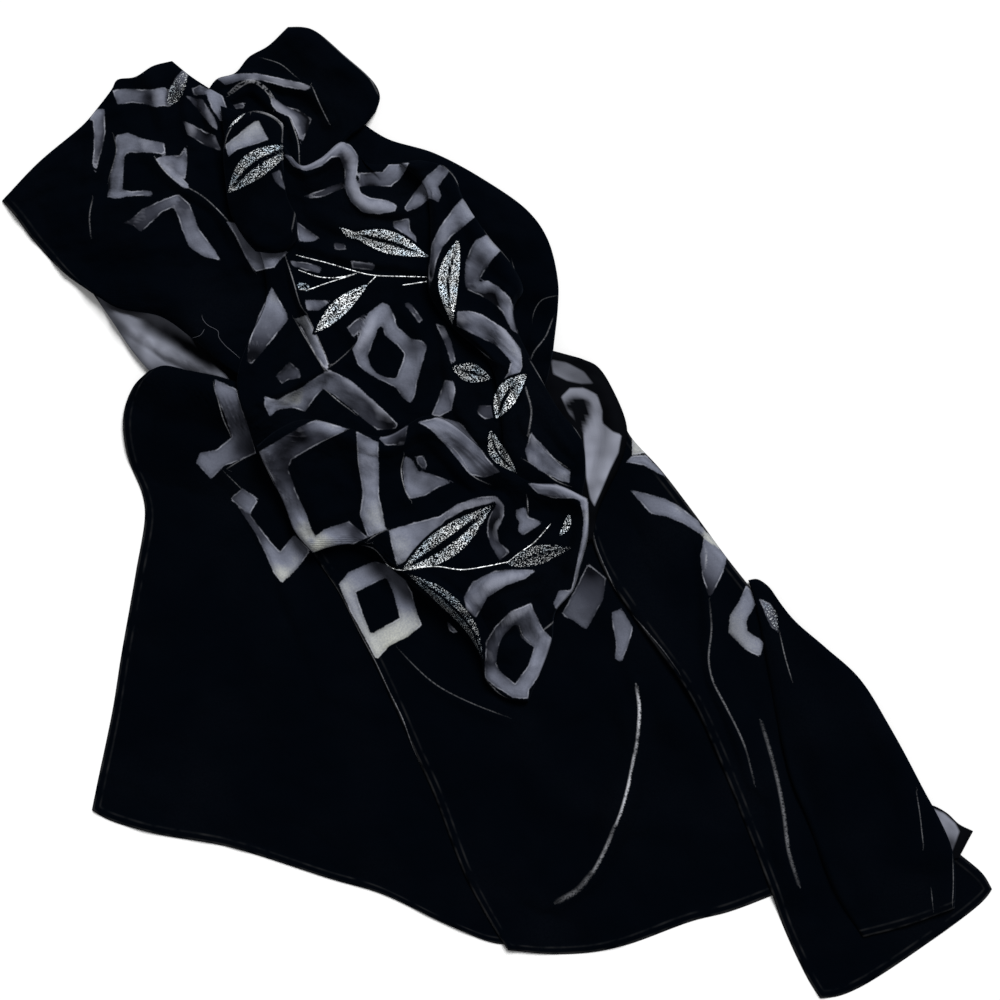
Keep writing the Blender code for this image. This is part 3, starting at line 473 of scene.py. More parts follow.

# A painted spot of light or shade on the sheer ground: where it is, how far it reaches, and
# how much painted light it adds.
PaintedLightAndShade = namedtuple("PaintedLightAndShade", "stretch place reach change")
PAINTED_LIGHT_AND_SHADE = (
    PaintedLightAndShade("turned_back", (150, 350), 8, 0.2),
    PaintedLightAndShade("turned_back", (178, 364), 9, 0.2),
    PaintedLightAndShade("end_left", (229, 388), 10, 0.2),
    PaintedLightAndShade("end_left", (250, 450), 13, -0.45),
    PaintedLightAndShade("end_left", (206, 466), 12, 0.25),
    PaintedLightAndShade("end_left", (237, 425), 10, -0.1),
    PaintedLightAndShade("end_left", (281, 574), 11, 0.55),
    PaintedLightAndShade("end_left", (262, 540), 10, -0.25),
    PaintedLightAndShade("end_left", (300, 552), 9, -0.2),
    PaintedLightAndShade("end_centre", (345, 587), 12, 0.3),
    PaintedLightAndShade("end_centre", (395, 640), 20, 0.32),
    PaintedLightAndShade("end_centre", (380, 568), 14, -0.5),
    PaintedLightAndShade("end_centre", (590, 572), 10, -0.2),
    PaintedLightAndShade("tail_under", (678, 508), 6, 0.2),
    PaintedLightAndShade("tail_under", (706, 590), 10, -0.25),
    PaintedLightAndShade("end_top_left", (148, 98), 6, -0.5),
    PaintedLightAndShade("end_top_left", (121, 170), 9, -0.25),
    PaintedLightAndShade("end_top_left", (158, 150), 10, -0.2),
    PaintedLightAndShade("end_top_left", (154, 99), 5, -0.35),
    PaintedLightAndShade("end_top_left", (140, 196), 12, -0.25),
    PaintedLightAndShade("end_top_left", (176, 165), 7, -0.25),
    PaintedLightAndShade("end_top_left", (186, 210), 8, -0.2),
    PaintedLightAndShade("bunch_upper", (347, 163), 8, -0.5),
    PaintedLightAndShade("bunch_upper", (300, 166), 8, -0.2),
    PaintedLightAndShade("bunch_upper", (358, 196), 7, -0.25),
    PaintedLightAndShade("bunch_upper", (412, 350), 10, -0.3),
    PaintedLightAndShade("bunch_upper", (426, 346), 6, -0.4),
    PaintedLightAndShade("bunch_upper", (384, 378), 8, -0.3),
    PaintedLightAndShade("bunch_upper", (366, 352), 7, -0.2),
    PaintedLightAndShade("bunch_upper", (300, 394), 9, 0.15),
    PaintedLightAndShade("bunch_upper", (282, 312), 9, 0.15),
    PaintedLightAndShade("bunch_upper", (378, 408), 12, -0.2),
    PaintedLightAndShade("bunch_upper", (256, 356), 14, -0.35),
    PaintedLightAndShade("bunch_upper", (276, 300), 8, 0.2),
    PaintedLightAndShade("bunch_upper", (331, 372), 8, -0.3),
    PaintedLightAndShade("bunch_upper", (345, 380), 10, -0.15),
    PaintedLightAndShade("bunch_upper", (302, 392), 8, 0.2),
    PaintedLightAndShade("bunch_upper", (392, 425), 10, -0.25),
    PaintedLightAndShade("bunch_upper", (262, 262), 14, -0.2),
    PaintedLightAndShade("right_fold", (446, 232), 12, 0.15),
    PaintedLightAndShade("right_fold", (432, 278), 12, -0.35),
    PaintedLightAndShade("right_fold", (512, 352), 9, 0.2),
    PaintedLightAndShade("right_fold", (503, 380), 8, -0.3),
    PaintedLightAndShade("right_fold", (560, 476), 9, 0.15),
    PaintedLightAndShade("right_fold", (548, 466), 8, 0.15),
    PaintedLightAndShade("right_fold", (530, 440), 8, -0.1),
    PaintedLightAndShade("right_fold", (434, 190), 9, 0.15),
    PaintedLightAndShade("right_fold", (443, 172), 5, -0.4),
    PaintedLightAndShade("bunch_lower", (272, 452), 9, 0.2),
    PaintedLightAndShade("bunch_lower", (340, 436), 10, 0.15),
    PaintedLightAndShade("bunch_lower", (372, 470), 12, -0.15),
    PaintedLightAndShade("bunch_lower", (376, 515), 12, 0.2),
    PaintedLightAndShade("bunch_lower", (462, 446), 10, -0.25),
    PaintedLightAndShade("bunch_lower", (480, 468), 8, 0.15),
    PaintedLightAndShade("bunch_lower", (400, 440), 9, -0.3),
    PaintedLightAndShade("bunch_lower", (416, 484), 10, 0.1),
    PaintedLightAndShade("bunch_lower", (495, 522), 9, -0.35),
    PaintedLightAndShade("bunch_lower", (510, 612), 10, -0.4),
    PaintedLightAndShade("bunch_lower", (548, 652), 9, -0.25),
    PaintedLightAndShade("bunch_lower", (505, 690), 10, 0.15),
    PaintedLightAndShade("bunch_lower", (293, 462), 14, -0.3),
    PaintedLightAndShade("bunch_lower", (288, 480), 12, -0.2),
    PaintedLightAndShade("bunch_lower", (307, 532), 16, 0.85),
    PaintedLightAndShade("bunch_lower", (326, 545), 12, 0.65),
    PaintedLightAndShade("bunch_lower", (495, 472), 9, -0.4),
    PaintedLightAndShade("bunch_lower", (468, 452), 10, 0.1),
    PaintedLightAndShade("bunch_lower", (500, 551), 9, 0.1),
    PaintedLightAndShade("bunch_lower", (492, 528), 8, -0.25),
    PaintedLightAndShade("bunch_lower", (404, 545), 14, 0.15),
    PaintedLightAndShade("bunch_lower", (527, 640), 9, 0.2),
    PaintedLightAndShade("bunch_lower", (495, 676), 9, 0.15),
    PaintedLightAndShade("bunch_lower", (552, 496), 8, -0.3),
    PaintedLightAndShade("bunch_lower", (505, 500), 7, 0.1),
    PaintedLightAndShade("bunch_lower", (272, 462), 9, -0.15),
    PaintedLightAndShade("bunch_lower", (325, 440), 8, -0.3),
    PaintedLightAndShade("bunch_lower", (366, 440), 8, -0.3),
    PaintedLightAndShade("turned_back", (165, 331), 8, -0.4),
    PaintedLightAndShade("turned_back", (176, 338), 9, -0.5),
    PaintedLightAndShade("turned_back", (188, 346), 10, -0.6),
    PaintedLightAndShade("turned_back", (201, 354), 11, -0.6),
    PaintedLightAndShade("turned_back", (214, 364), 12, -0.6),
    PaintedLightAndShade("turned_back", (130, 327), 9, 0.15),
    PaintedLightAndShade("turned_back", (146, 341), 9, 0.15),
    PaintedLightAndShade("right_loop", (575, 405), 9, -1.2),
    PaintedLightAndShade("right_loop", (584, 412), 7, -1.1),
    PaintedLightAndShade("right_loop", (578, 424), 6, -0.7),
    PaintedLightAndShade("right_loop", (566, 406), 5, -0.3),
    PaintedLightAndShade("right_loop", (600, 410), 6, 0.2),
    PaintedLightAndShade("right_loop", (598, 440), 9, 0.1),
    PaintedLightAndShade("right_loop", (611, 452), 7, -0.15),
    PaintedLightAndShade("right_loop", (596, 470), 10, 0.1),
    PaintedLightAndShade("right_loop", (590, 500), 9, -0.25),
    PaintedLightAndShade("right_loop", (556, 364), 7, -0.2),
    PaintedLightAndShade("bunch_lower", (330, 424), 10, 0.35),
    PaintedLightAndShade("bunch_lower", (292, 444), 10, -0.35),
    PaintedLightAndShade("bunch_lower", (281, 452), 9, -0.25),
    PaintedLightAndShade("bunch_lower", (306, 440), 8, -0.25),
    PaintedLightAndShade("bunch_lower", (318, 551), 12, 0.75),
    PaintedLightAndShade("bunch_lower", (341, 540), 8, 0.2),
    PaintedLightAndShade("bunch_lower", (313, 541), 4, -0.5),
    PaintedLightAndShade("bunch_lower", (358, 532), 8, -0.4),
    PaintedLightAndShade("bunch_lower", (487, 638), 11, -0.35),
    PaintedLightAndShade("bunch_lower", (498, 619), 9, -0.3),
    PaintedLightAndShade("bunch_lower", (533, 656), 12, 0.15),
    PaintedLightAndShade("bunch_lower", (520, 604), 7, 0.2),
    PaintedLightAndShade("bunch_upper", (288, 400), 8, 0.3),
    PaintedLightAndShade("bunch_upper", (311, 402), 8, -0.25),
    PaintedLightAndShade("bunch_upper", (388, 420), 9, -0.2),
    PaintedLightAndShade("end_left", (268, 548), 8, 0.3),
    PaintedLightAndShade("end_left", (296, 556), 7, 0.25),
    PaintedLightAndShade("end_left", (284, 562), 7, -0.2),
    PaintedLightAndShade("bunch_lower", (301, 433), 9, -0.55),
    PaintedLightAndShade("bunch_lower", (312, 446), 8, -0.25),
    PaintedLightAndShade("bunch_lower", (340, 425), 9, 0.3),
    PaintedLightAndShade("bunch_lower", (284, 470), 9, -0.2),
    PaintedLightAndShade("bunch_lower", (300, 493), 7, -0.2),
    PaintedLightAndShade("bunch_lower", (486, 656), 10, -0.35),
    PaintedLightAndShade("end_centre", (408, 595), 14, -0.65),
    PaintedLightAndShade("end_centre", (397, 578), 9, -0.3),
    PaintedLightAndShade("right_loop", (579, 420), 8, -1.1),
    PaintedLightAndShade("right_loop", (577, 430), 6, -0.9),
    PaintedLightAndShade("right_loop", (585, 404), 5, -0.9),
    PaintedLightAndShade("bunch_upper", (297, 398), 6, 0.2),
    PaintedLightAndShade("bunch_upper", (300, 402), 5, 0.3),
    PaintedLightAndShade("turned_back", (135, 334), 6, 0.5),
    PaintedLightAndShade("turned_back", (150, 344), 6, 0.5),
    PaintedLightAndShade("turned_back", (166, 354), 7, 0.5),
    PaintedLightAndShade("turned_back", (183, 364), 7, 0.5),
    PaintedLightAndShade("turned_back", (112, 306), 10, -0.3),
    PaintedLightAndShade("turned_back", (150, 326), 8, -0.3),
    PaintedLightAndShade("turned_corner", (942, 822), 6, 0.2),
    PaintedLightAndShade("turned_corner", (950, 842), 7, -0.3),
    PaintedLightAndShade("right_fold", (494, 244), 6, 0.15),
    PaintedLightAndShade("right_fold", (470, 286), 8, -0.25),
    PaintedLightAndShade("right_fold", (500, 296), 7, 0.15),
    PaintedLightAndShade("right_fold", (516, 330), 7, -0.3),
    PaintedLightAndShade("right_fold", (474, 318), 7, 0.15),
    PaintedLightAndShade("right_fold", (462, 324), 7, -0.3),
    PaintedLightAndShade("turned_back", (118, 330), 9, -0.25),
    PaintedLightAndShade("turned_back", (160, 368), 8, -0.25),
    PaintedLightAndShade("turned_back", (140, 350), 8, -0.2),
    PaintedLightAndShade("bunch_lower", (589, 516), 9, 0.4),
    PaintedLightAndShade("bunch_lower", (583, 548), 9, -0.25),
    PaintedLightAndShade("bunch_lower", (576, 575), 9, -0.35),
)  # fmt: skip

# A silver foil leaf: its greatest width, how much foil is left on it, and its midrib.
Leaf = namedtuple("Leaf", "stretch width foil guide")
LEAVES = (
    Leaf("end_top_left", 15, 0.12, ((168, 108), (178, 90), (188, 70))),
    Leaf("rolled_fold", 14, 0.95, ((232, 133), (239, 119), (254, 111))),
    Leaf("rolled_fold", 27, 0.5, ((231, 197), (257, 172), (298, 148))),
    Leaf("bunch_upper", 22, 1, ((353, 236), (392, 245), (430, 259))),
    Leaf("bunch_upper", 8, 0.9, ((340, 229), (352, 237), (368, 241))),
    Leaf("bunch_upper", 17, 1, ((316, 335), (342, 308), (371, 284))),
    Leaf("bunch_upper", 9, 0.5, ((298, 286), (314, 292))),
    Leaf("bunch_upper right_fold", 20, 1, ((459, 240), (449, 283), (453, 328))),
    Leaf("bunch_upper right_fold", 19, 0.45, ((452, 369), (472, 374), (492, 380))),
    Leaf("right_fold bunch_upper bunch_lower", 22, 0.85, ((496, 420), (508, 394), (528, 374))),
    Leaf("bunch_upper right_fold bunch_lower", 16, 0.55, ((490, 430), (497, 452), (517, 474))),
    Leaf("bunch_lower", 30, 0.65, ((403, 570), (449, 541), (494, 504))),
    Leaf("bunch_lower", 8, 0.9, ((569, 513), (566, 526), (558, 537))),
    Leaf("bunch_lower", 19, 0.15, ((506, 565), (536, 555), (572, 547))),
    Leaf("bunch_lower", 17, 0.15, ((408, 573), (435, 590), (456, 609), (472, 629), (484, 660))),
    Leaf("tail_over", 10, 0.1, ((760, 598), (771, 613), (778, 633))),
)  # fmt: skip

# A thin silver stem, and where it runs.
Stem = namedtuple("Stem", "stretch guide")
STEMS = (
    Stem("bunch_upper", ((298, 257), (313, 261), (336, 267), (356, 273), (374, 277), (430, 279))),
    Stem("bunch_upper", ((300, 272), (322, 279), (342, 279), (358, 275))),
    Stem("bunch_upper", ((300, 292), (311, 291), (325, 286), (356, 276))),
    Stem("bunch_upper", ((403, 287), (429, 283))),
    Stem("bunch_upper", ((369, 286), (377, 278))),
    Stem("bunch_lower", ((403, 570), (420, 567), (438, 566), (461, 569), (485, 566), (510, 561))),
    Stem("bunch_lower", ((506, 563), (520, 552), (534, 542), (551, 523))),
    Stem("bunch_lower", ((385, 562), (394, 568), (405, 570))),
)

# A pale line: pile pressed open on some, a painted highlight along fold edges and crests on
# the others. Its strength, half its width and where it runs.
Mark = namedtuple("Mark", "stretch strength half_width guide")
MARKS = (
    Mark("end_centre", 1, 1.3, ((636, 686), (639, 706), (638, 728), (635, 753))),
    Mark("end_centre", 0.85, 1.2, ((637, 738), (632, 764), (627, 788), (620, 812), (612, 832))),
    Mark("end_centre", 0.45, 1.5, ((614, 826), (606, 846), (597, 864), (588, 878))),
    Mark("end_centre", 0.3, 2.2, ((592, 872), (576, 890), (557, 901))),
    Mark("tail_under", 0.9, 1.1, ((705, 548), (706, 557), (705, 568))),
    Mark("end_centre", 0.3, 0.5, ((398, 648), (412, 663), (429, 679), (445, 690), (474, 704),
          (508, 717))),
    Mark("end_left", 0.3, 0.4, ((224, 471), (234, 481), (244, 491))),
    Mark("end_left", 0.6, 0.5, ((217, 386), (222, 404), (226, 422), (232, 436))),
    Mark("end_left", 0.3, 0.5, ((226, 470), (240, 461), (259, 451))),
    Mark("end_top_left", 0.5, 0.5, ((190, 190), (204, 198), (218, 210), (232, 225))),
    Mark("end_top_left", 0.35, 0.5, ((232, 225), (242, 246), (256, 273))),
    Mark("end_top_left", 0.3, 0.6, ((94, 200), (91, 218), (92, 236))),
    Mark("top_flap", 0.5, 0.5, ((313, 88), (321, 107), (329, 123))),
    Mark("top_flap", 0.3, 0.4, ((263, 59), (281, 65), (297, 78))),
    Mark("top_flap", 0.5, 0.5, ((230, 96), (252, 84), (268, 94), (275, 110))),
    Mark("top_flap", 0.5, 0.5, ((288, 112), (299, 143), (301, 167))),
    Mark("top_flap", 0.4, 0.8, ((322, 36), (340, 52), (356, 66), (370, 79), (378, 94))),
    Mark("rolled_fold", 0.5, 0.6, ((254, 115), (272, 120), (284, 130), (285, 147), (287, 170),
          (290, 194), (297, 214), (295, 232))),
    Mark("rolled_fold", 0.4, 0.5, ((254, 115), (243, 123), (232, 138), (228, 152))),
    Mark("bunch_upper", 0.5, 0.5, ((287, 257), (296, 285), (303, 308), (309, 316))),
    Mark("bunch_upper", 0.7, 0.8, ((307, 339), (318, 357), (327, 372))),
    Mark("bunch_upper", 0.3, 0.4, ((332, 369), (342, 360), (354, 349))),
    Mark("bunch_upper", 0.45, 0.5, ((324, 388), (340, 402), (356, 414))),
    Mark("bunch_upper", 0.45, 0.5, ((441, 169), (452, 178), (459, 190))),
    Mark("right_fold", 0.5, 0.5, ((443, 168), (454, 179), (466, 201), (477, 218), (488, 237),
          (498, 249), (510, 263))),
    Mark("right_fold", 0.5, 0.6, ((429, 306), (443, 319), (456, 336), (474, 348), (490, 360))),
    Mark("right_fold", 0.5, 0.8, ((525, 388), (531, 411), (528, 435))),
    Mark("right_fold", 0.4, 0.5, ((530, 436), (546, 453), (567, 468))),
    Mark("right_fold", 0.5, 0.5, ((524, 460), (541, 470), (556, 481), (568, 486))),
    Mark("right_fold", 0.5, 0.5, ((530, 362), (545, 386), (563, 411), (581, 439))),
    Mark("back_border", 0.25, 0.4, ((557, 296), (541, 301), (534, 312), (532, 321))),
    Mark("back_border", 0.4, 0.6, ((553, 318), (545, 338), (534, 352), (530, 362))),
    Mark("back_border", 0.3, 0.4, ((512, 262), (516, 280), (510, 300))),
    Mark("bunch_lower", 0.7, 0.7, ((586, 499), (589, 525), (586, 543), (579, 565), (573, 591),
          (560, 615), (541, 631))),
    Mark("bunch_lower", 0.4, 0.5, ((355, 545), (374, 548), (389, 565))),
    Mark("bunch_lower", 0.6, 0.5, ((527, 498), (528, 512))),
    Mark("bunch_lower", 0.6, 0.5, ((519, 624), (522, 634), (530, 642))),
    Mark("bunch_lower", 0.5, 0.6, ((487, 680), (500, 694), (514, 702))),
    Mark("bunch_lower", 0.5, 0.5, ((307, 451), (322, 443), (348, 431))),
    Mark("bunch_lower", 0.4, 0.5, ((369, 540), (378, 534), (387, 530))),
    Mark("bunch_lower", 0.5, 0.5, ((432, 429), (443, 440), (456, 451), (466, 465), (473, 476),
          (488, 484))),
    Mark("right_loop", 0.45, 0.5, ((616, 421), (627, 437), (625, 457), (612, 480), (600, 507))),
    Mark("tail_under", 0.34, 0.8, ((709, 601), (711, 629), (708, 658), (712, 680), (722, 700),
          (735, 725), (745, 748), (754, 783))),
    Mark("tail_under", 0.36, 1.5, ((761, 722), (768, 745), (777, 780), (783, 812), (788, 850),
          (798, 884))),
    Mark("end_centre", 0.5, 0.4, ((322, 566), (340, 593), (358, 629), (376, 662), (389, 690),
          (403, 719), (414, 750), (434, 796), (466, 879), (495, 930))),
    Mark("tail_under", 0.35, 0.4, ((592, 526), (596, 545), (607, 572), (622, 602), (644, 628),
          (662, 649), (680, 674))),
    Mark("bunch_lower", 0.6, 0.5, ((405, 456), (402, 470), (406, 490), (411, 500))),
    Mark("bunch_lower", 0.5, 0.5, ((359, 433), (360, 463), (365, 495), (362, 514))),
    Mark("bunch_lower", 0.4, 0.5, ((262, 455), (272, 476), (284, 508), (293, 528))),
    Mark("bunch_upper", 0.45, 0.5, ((296, 320), (305, 336), (318, 358), (327, 371))),
    Mark("bunch_upper", 0.5, 0.5, ((309, 317), (319, 338), (331, 366))),
    Mark("bunch_upper", 0.35, 0.5, ((331, 369), (345, 357), (356, 346))),
    Mark("rolled_fold", 0.7, 0.6, ((256, 113), (272, 118), (284, 127), (286, 148))),
    Mark("end_top_left", 0.8, 0.6, ((158, 161), (166, 172), (178, 183), (192, 191))),
    Mark("end_top_left", 0.3, 0.5, ((114, 136), (117, 150), (109, 181))),
    Mark("right_loop", 0.5, 0.5, ((617, 395), (628, 432), (622, 455), (608, 479), (597, 503),
          (592, 526))),
    Mark("top_flap", 0.5, 0.6, ((229, 94), (240, 85), (254, 82), (268, 90), (277, 103))),
    Mark("tail_over", 0.4, 0.5, ((779, 633), (784, 655), (791, 679))),
    Mark("tail_over", 0.35, 0.5, ((915, 790), (919, 818), (922, 846))),
    Mark("tail_over", 0.3, 0.4, ((930, 889), (932, 908))),
    Mark("tail_over", 0.35, 0.4, ((951, 856), (952, 880), (951, 903))),
)  # fmt: skip

# The sheer ground's painted shade in deep folds and in shadow, and its colour where the pale
# surface shows through it.
SHEER_IN_DEEP_SHADE = "#0b0c10"
SHADED_SHEER = "#34363f"
PALE_SHEER = "#b4b6ae"

# Loose threads pulled from the pile.
THREADS = (
    ((205, 317), (206, 321), (211, 327), (221, 333), (222, 339), (229, 348), (235, 353),
     (243, 360)),
    ((193, 340), (204, 337), (208, 331)),
)
SOFTBOX_AT = (0.7, 1.7, 2.4)  # in metres; the lamp's light comes from there, all parallel
SOFTBOX_ANGLE = 0.42  # radians across, a large softbox
THREAD_THICK = 0.5
STEM_WIDE = 1.1

laid = {}  # the height map, and each piece that has been laid


def linear(hex_colour):
    """An sRGB hex colour as linear red, green and blue."""
    parts = [int(hex_colour[k:k + 2], 16) / 255 for k in (1, 3, 5)]
    return tuple(c / 12.92 if c <= 0.04045 else ((c + 0.055) / 1.055) ** 2.4 for c in parts)


def curve_through(points, shares):
    """Places at the given shares of the length of a smooth curve through the points."""
    guide = np.array(points, float)
    ends = np.vstack([2 * guide[0] - guide[1], guide, 2 * guide[-1] - guide[-2]])
    pieces = []
    for p0, p1, p2, p3 in zip(ends, ends[1:], ends[2:], ends[3:]):
        t1 = np.sqrt(np.linalg.norm(p1 - p0))
        t2 = t1 + np.sqrt(np.linalg.norm(p2 - p1))
        t3 = t2 + np.sqrt(np.linalg.norm(p3 - p2))
        t = np.linspace(t1, t2, 16, endpoint=False)[:, None]
        a1 = (p0 * (t1 - t) + p1 * t) / t1
        a2 = (p1 * (t2 - t) + p2 * (t - t1)) / (t2 - t1)
        a3 = (p2 * (t3 - t) + p3 * (t - t2)) / (t3 - t2)
        b1 = (a1 * (t2 - t) + a2 * t) / t2
        b2 = (a2 * (t3 - t) + a3 * (t - t1)) / (t3 - t1)
        pieces.append((b1 * (t2 - t) + b2 * (t - t1)) / (t2 - t1))
    dense = np.vstack([*pieces, guide[-1:]])
    steps = np.linalg.norm(np.diff(dense, axis=0), axis=1)
    run = np.concatenate([[0.0], np.cumsum(steps)])
    wanted = np.asarray(shares) * run[-1]
    return np.stack([np.interp(wanted, run, dense[:, k]) for k in (0, 1)], axis=1)


def length_of(points):
    return np.linalg.norm(np.diff(np.array(points, float), axis=0), axis=1).sum()


def closer_at_the_ends(count):
    """count + 1 shares from 0 to 1 that crowd towards both ends, where the edges roll."""
    even = np.linspace(0.0, 1.0, count + 1)
    return even - CROWDING * np.sin(2 * np.pi * even) / (2 * np.pi)


def plan_of(stretch):
    """The plan places of the stretch's grid: rows go from back to front."""
    back_left, back_right, front_right, front_left = stretch.corners
    sides = {
        "back": (back_left, *stretch.back, back_right),
        "front": (front_left, *stretch.front, front_right),
        "left": (back_left, *stretch.left, front_left),
        "right": (back_right, *stretch.right, front_right),
    }
    wide = max(length_of(sides["back"]), length_of(sides["front"]))
    long = max(length_of(sides["left"]), length_of(sides["right"]))
    u = closer_at_the_ends(round(wide / stretch.step))
    v = closer_at_the_ends(round(long / stretch.step))
    back, front = curve_through(sides["back"], u), curve_through(sides["front"], u)
    left, right = curve_through(sides["left"], v), curve_through(sides["right"], v)
    u, v = u[None, :, None], v[:, None, None]
    ruled_down = (1 - v) * back[None] + v * front[None]
    ruled_across = (1 - u) * left[:, None] + u * right[:, None]
    corners = (1 - v) * ((1 - u) * back[0] + u * back[-1])
    corners = corners + v * ((1 - u) * front[0] + u * front[-1])
    return ruled_down + ruled_across - corners


def from_sides(plan):
    """How far each place is from the back, front, left and right side, along the grid."""
    down = np.linalg.norm(np.diff(plan, axis=0), axis=2)
    across = np.linalg.norm(np.diff(plan, axis=1), axis=2)
    down = np.vstack([np.zeros((1, plan.shape[1])), np.cumsum(down, axis=0)])
    across = np.hstack([np.zeros((plan.shape[0], 1)), np.cumsum(across, axis=1)])
    return down, down[-1:] - down, across, across[:, -1:] - across


def beside_guide(guide, plan):
    """Signed distance of each place from a guide, and how far along it, from 0 to 1."""
    places = max(4, round(length_of(guide) / GUIDE_STEP))
    guide = curve_through(guide, np.linspace(0.0, 1.0, places))
    best = np.full(plan.shape[:2], np.inf)
    side = np.ones(plan.shape[:2])
    along = np.zeros(plan.shape[:2])
    for k, (start, end) in enumerate(zip(guide, guide[1:])):
        step = end - start
        away = plan - start
        share = np.clip((away @ step) / (step @ step), 0.0, 1.0)
        offset = away - share[..., None] * step
        distance = np.hypot(offset[..., 0], offset[..., 1])
        nearer = distance < best
        turn = step[0] * offset[..., 1] - step[1] * offset[..., 0]
        best = np.where(nearer, distance, best)
        side = np.where(nearer, np.where(turn < 0, -1.0, 1.0), side)
        along = np.where(nearer, (k + share) / (len(guide) - 1), along)
    return side * best, along


def inside_corners(corners, plan):
    """Distance of each place from the border of a shape, above 0 inside it."""
    ring = np.array(corners, float)
    best = np.full(plan.shape[:2], np.inf)
    inside = np.zeros(plan.shape[:2], bool)
    for start, end in zip(ring, np.roll(ring, -1, axis=0)):
        step = end - start
        away = plan - start
        share = np.clip((away @ step) / (step @ step), 0.0, 1.0)
        offset = away - share[..., None] * step
        best = np.minimum(best, np.hypot(offset[..., 0], offset[..., 1]))
        spans = (start[1] > plan[..., 1]) != (end[1] > plan[..., 1])
        rise = step[1] if abs(step[1]) > 1e-9 else 1e-9
        crossing = start[0] + (plan[..., 1] - start[1]) / rise * step[0]
        inside ^= spans & (plan[..., 0] < crossing)
    return np.where(inside, best, -best)


def fold_rise(fold, plan):
    """How far one fold lifts each place of the plan."""
    across, along = beside_guide(fold.guide, plan)
    half_width = fold.half_width * (1 - np.sign(across) * fold.lean)
    out = np.clip(np.abs(across) / half_width, 0, 1)
    section = (1 - fold.crest) * (1 - out**2) ** 1.4 + fold.crest * (1 - out) ** 1.4
    share = np.clip(along, TAPER_START, 1 - TAPER_START)
    return fold.height * section * np.sin(share * np.pi) ** 0.5


def unevenness(plan, seed, length, height):
    """Gentle waves in many directions, the same on each run."""
    draw = np.random.default_rng(seed)
    rise = np.zeros(plan.shape[:2])
    for _ in range(WAVES):
        heading, phase = draw.uniform(0, 2 * np.pi, 2)
        size = length * draw.uniform(0.7, 1.6)
        run = plan @ np.array([np.cos(heading), np.sin(heading)])
        rise += np.sin(run * 2 * np.pi / size + phase)
    return height * rise / np.sqrt(WAVES)


def relief_of(stretch, plan, depth):
    """Height of the stretch above what it lies on: its puff, rolled edges, folds and crush."""
    rise = np.full(plan.shape[:2], stretch.puff)
    keep = np.ones(plan.shape[:2])
    for kind, distance in zip(stretch.edges, from_sides(plan)):
        edge = EDGES[kind]
        rise += edge.height * np.exp(-((distance / edge.reach) ** 2))
        turned = 1 - np.clip(distance / edge.radius, 0, 1)
        keep *= np.sqrt(1 - turned**2)
    for fold in FOLDS:
        if fold.stretch == stretch.name:
            rise += depth * fold_rise(fold, plan)
    for size, (length, height) in enumerate(CRUSH[stretch.step]):
        seed = STRETCHES.index(stretch) * 10 + size
        rise += depth * unevenness(plan, seed, length, height)
    return np.maximum(rise, 0.0) * keep


def cells_of(places):
    """The column and row of the height map that hold each place."""
    return np.rint((places - np.array(MIDDLE) + MAP_HALF) / CELL).astype(int)


def spread(heights, cells):
    """Each cell of the map takes the greatest height within so many cells."""
    for _ in range(cells):
        for axis in (0, 1):
            beside = np.maximum(np.roll(heights, 1, axis), np.roll(heights, -1, axis))
            heights = np.maximum(heights, beside)
    return heights


def blurred(heights, cells):
    """The map averaged over so many cells to each side, twice."""
    for _ in range(2):
        for axis in (0, 1):
            heights = sum(np.roll(heights, k, axis) for k in range(-cells, cells + 1))
            heights = heights / (2 * cells + 1)
    return heights


def samples_of(grid):
    """Places spread over every square of the grid: corner numbers and their weights."""
    rows, columns = grid.shape[:2]
    edge = max(np.linalg.norm(np.diff(grid, axis=a), axis=2).max() for a in (0, 1))
    n = int(np.ceil(edge / (CELL / 2)))
    s, t = (a.ravel() for a in np.meshgrid(np.linspace(0, 1, n + 1), np.linspace(0, 1, n + 1)))
    weights = np.stack([(1 - s) * (1 - t), s * (1 - t), s * t, (1 - s) * t], axis=1)
    first = (np.arange(rows - 1)[:, None] * columns + np.arange(columns - 1)).ravel()
    corners = np.stack([first, first + 1, first + columns + 1, first + columns], axis=1)
    return corners, weights


def laid_over(stretch, plan, below, depth):
    """Height of the stretch's underside: draped on the map below, then lifted until clear."""
    reach = round(DRAPE / CELL)
    eased = blurred(spread(below, reach), reach)
    column, row = np.moveaxis(cells_of(plan), 2, 0)
    floor = eased[row, column]
    floor = np.where(floor > 0.05, floor + SEAM, 0.0)
    height = (floor + relief_of(stretch, plan, depth)).ravel()
    corners, weights = samples_of(plan)
    places = np.einsum("sk,qkc->qsc", weights, plan.reshape(-1, 2)[corners])
    column, row = np.moveaxis(cells_of(places), 2, 0)
    needed = spread(below, 1)[row, column]
    needed = np.where(needed > 0, needed + SEAM, 0.0)
    share = weights / (weights**2).sum(axis=1, keepdims=True)
    for _ in range(LIFTS):
        short = needed - height[corners] @ weights.T
        if short.max() < CLEAR_ENOUGH:
            break
        lift = np.zeros_like(height)
        short = np.clip(short, 0, None)
        for k in range(4):
            np.maximum.at(lift, corners[:, k], (short * share[:, k]).max(axis=1))
        height += lift
    return height.reshape(plan.shape[:2])


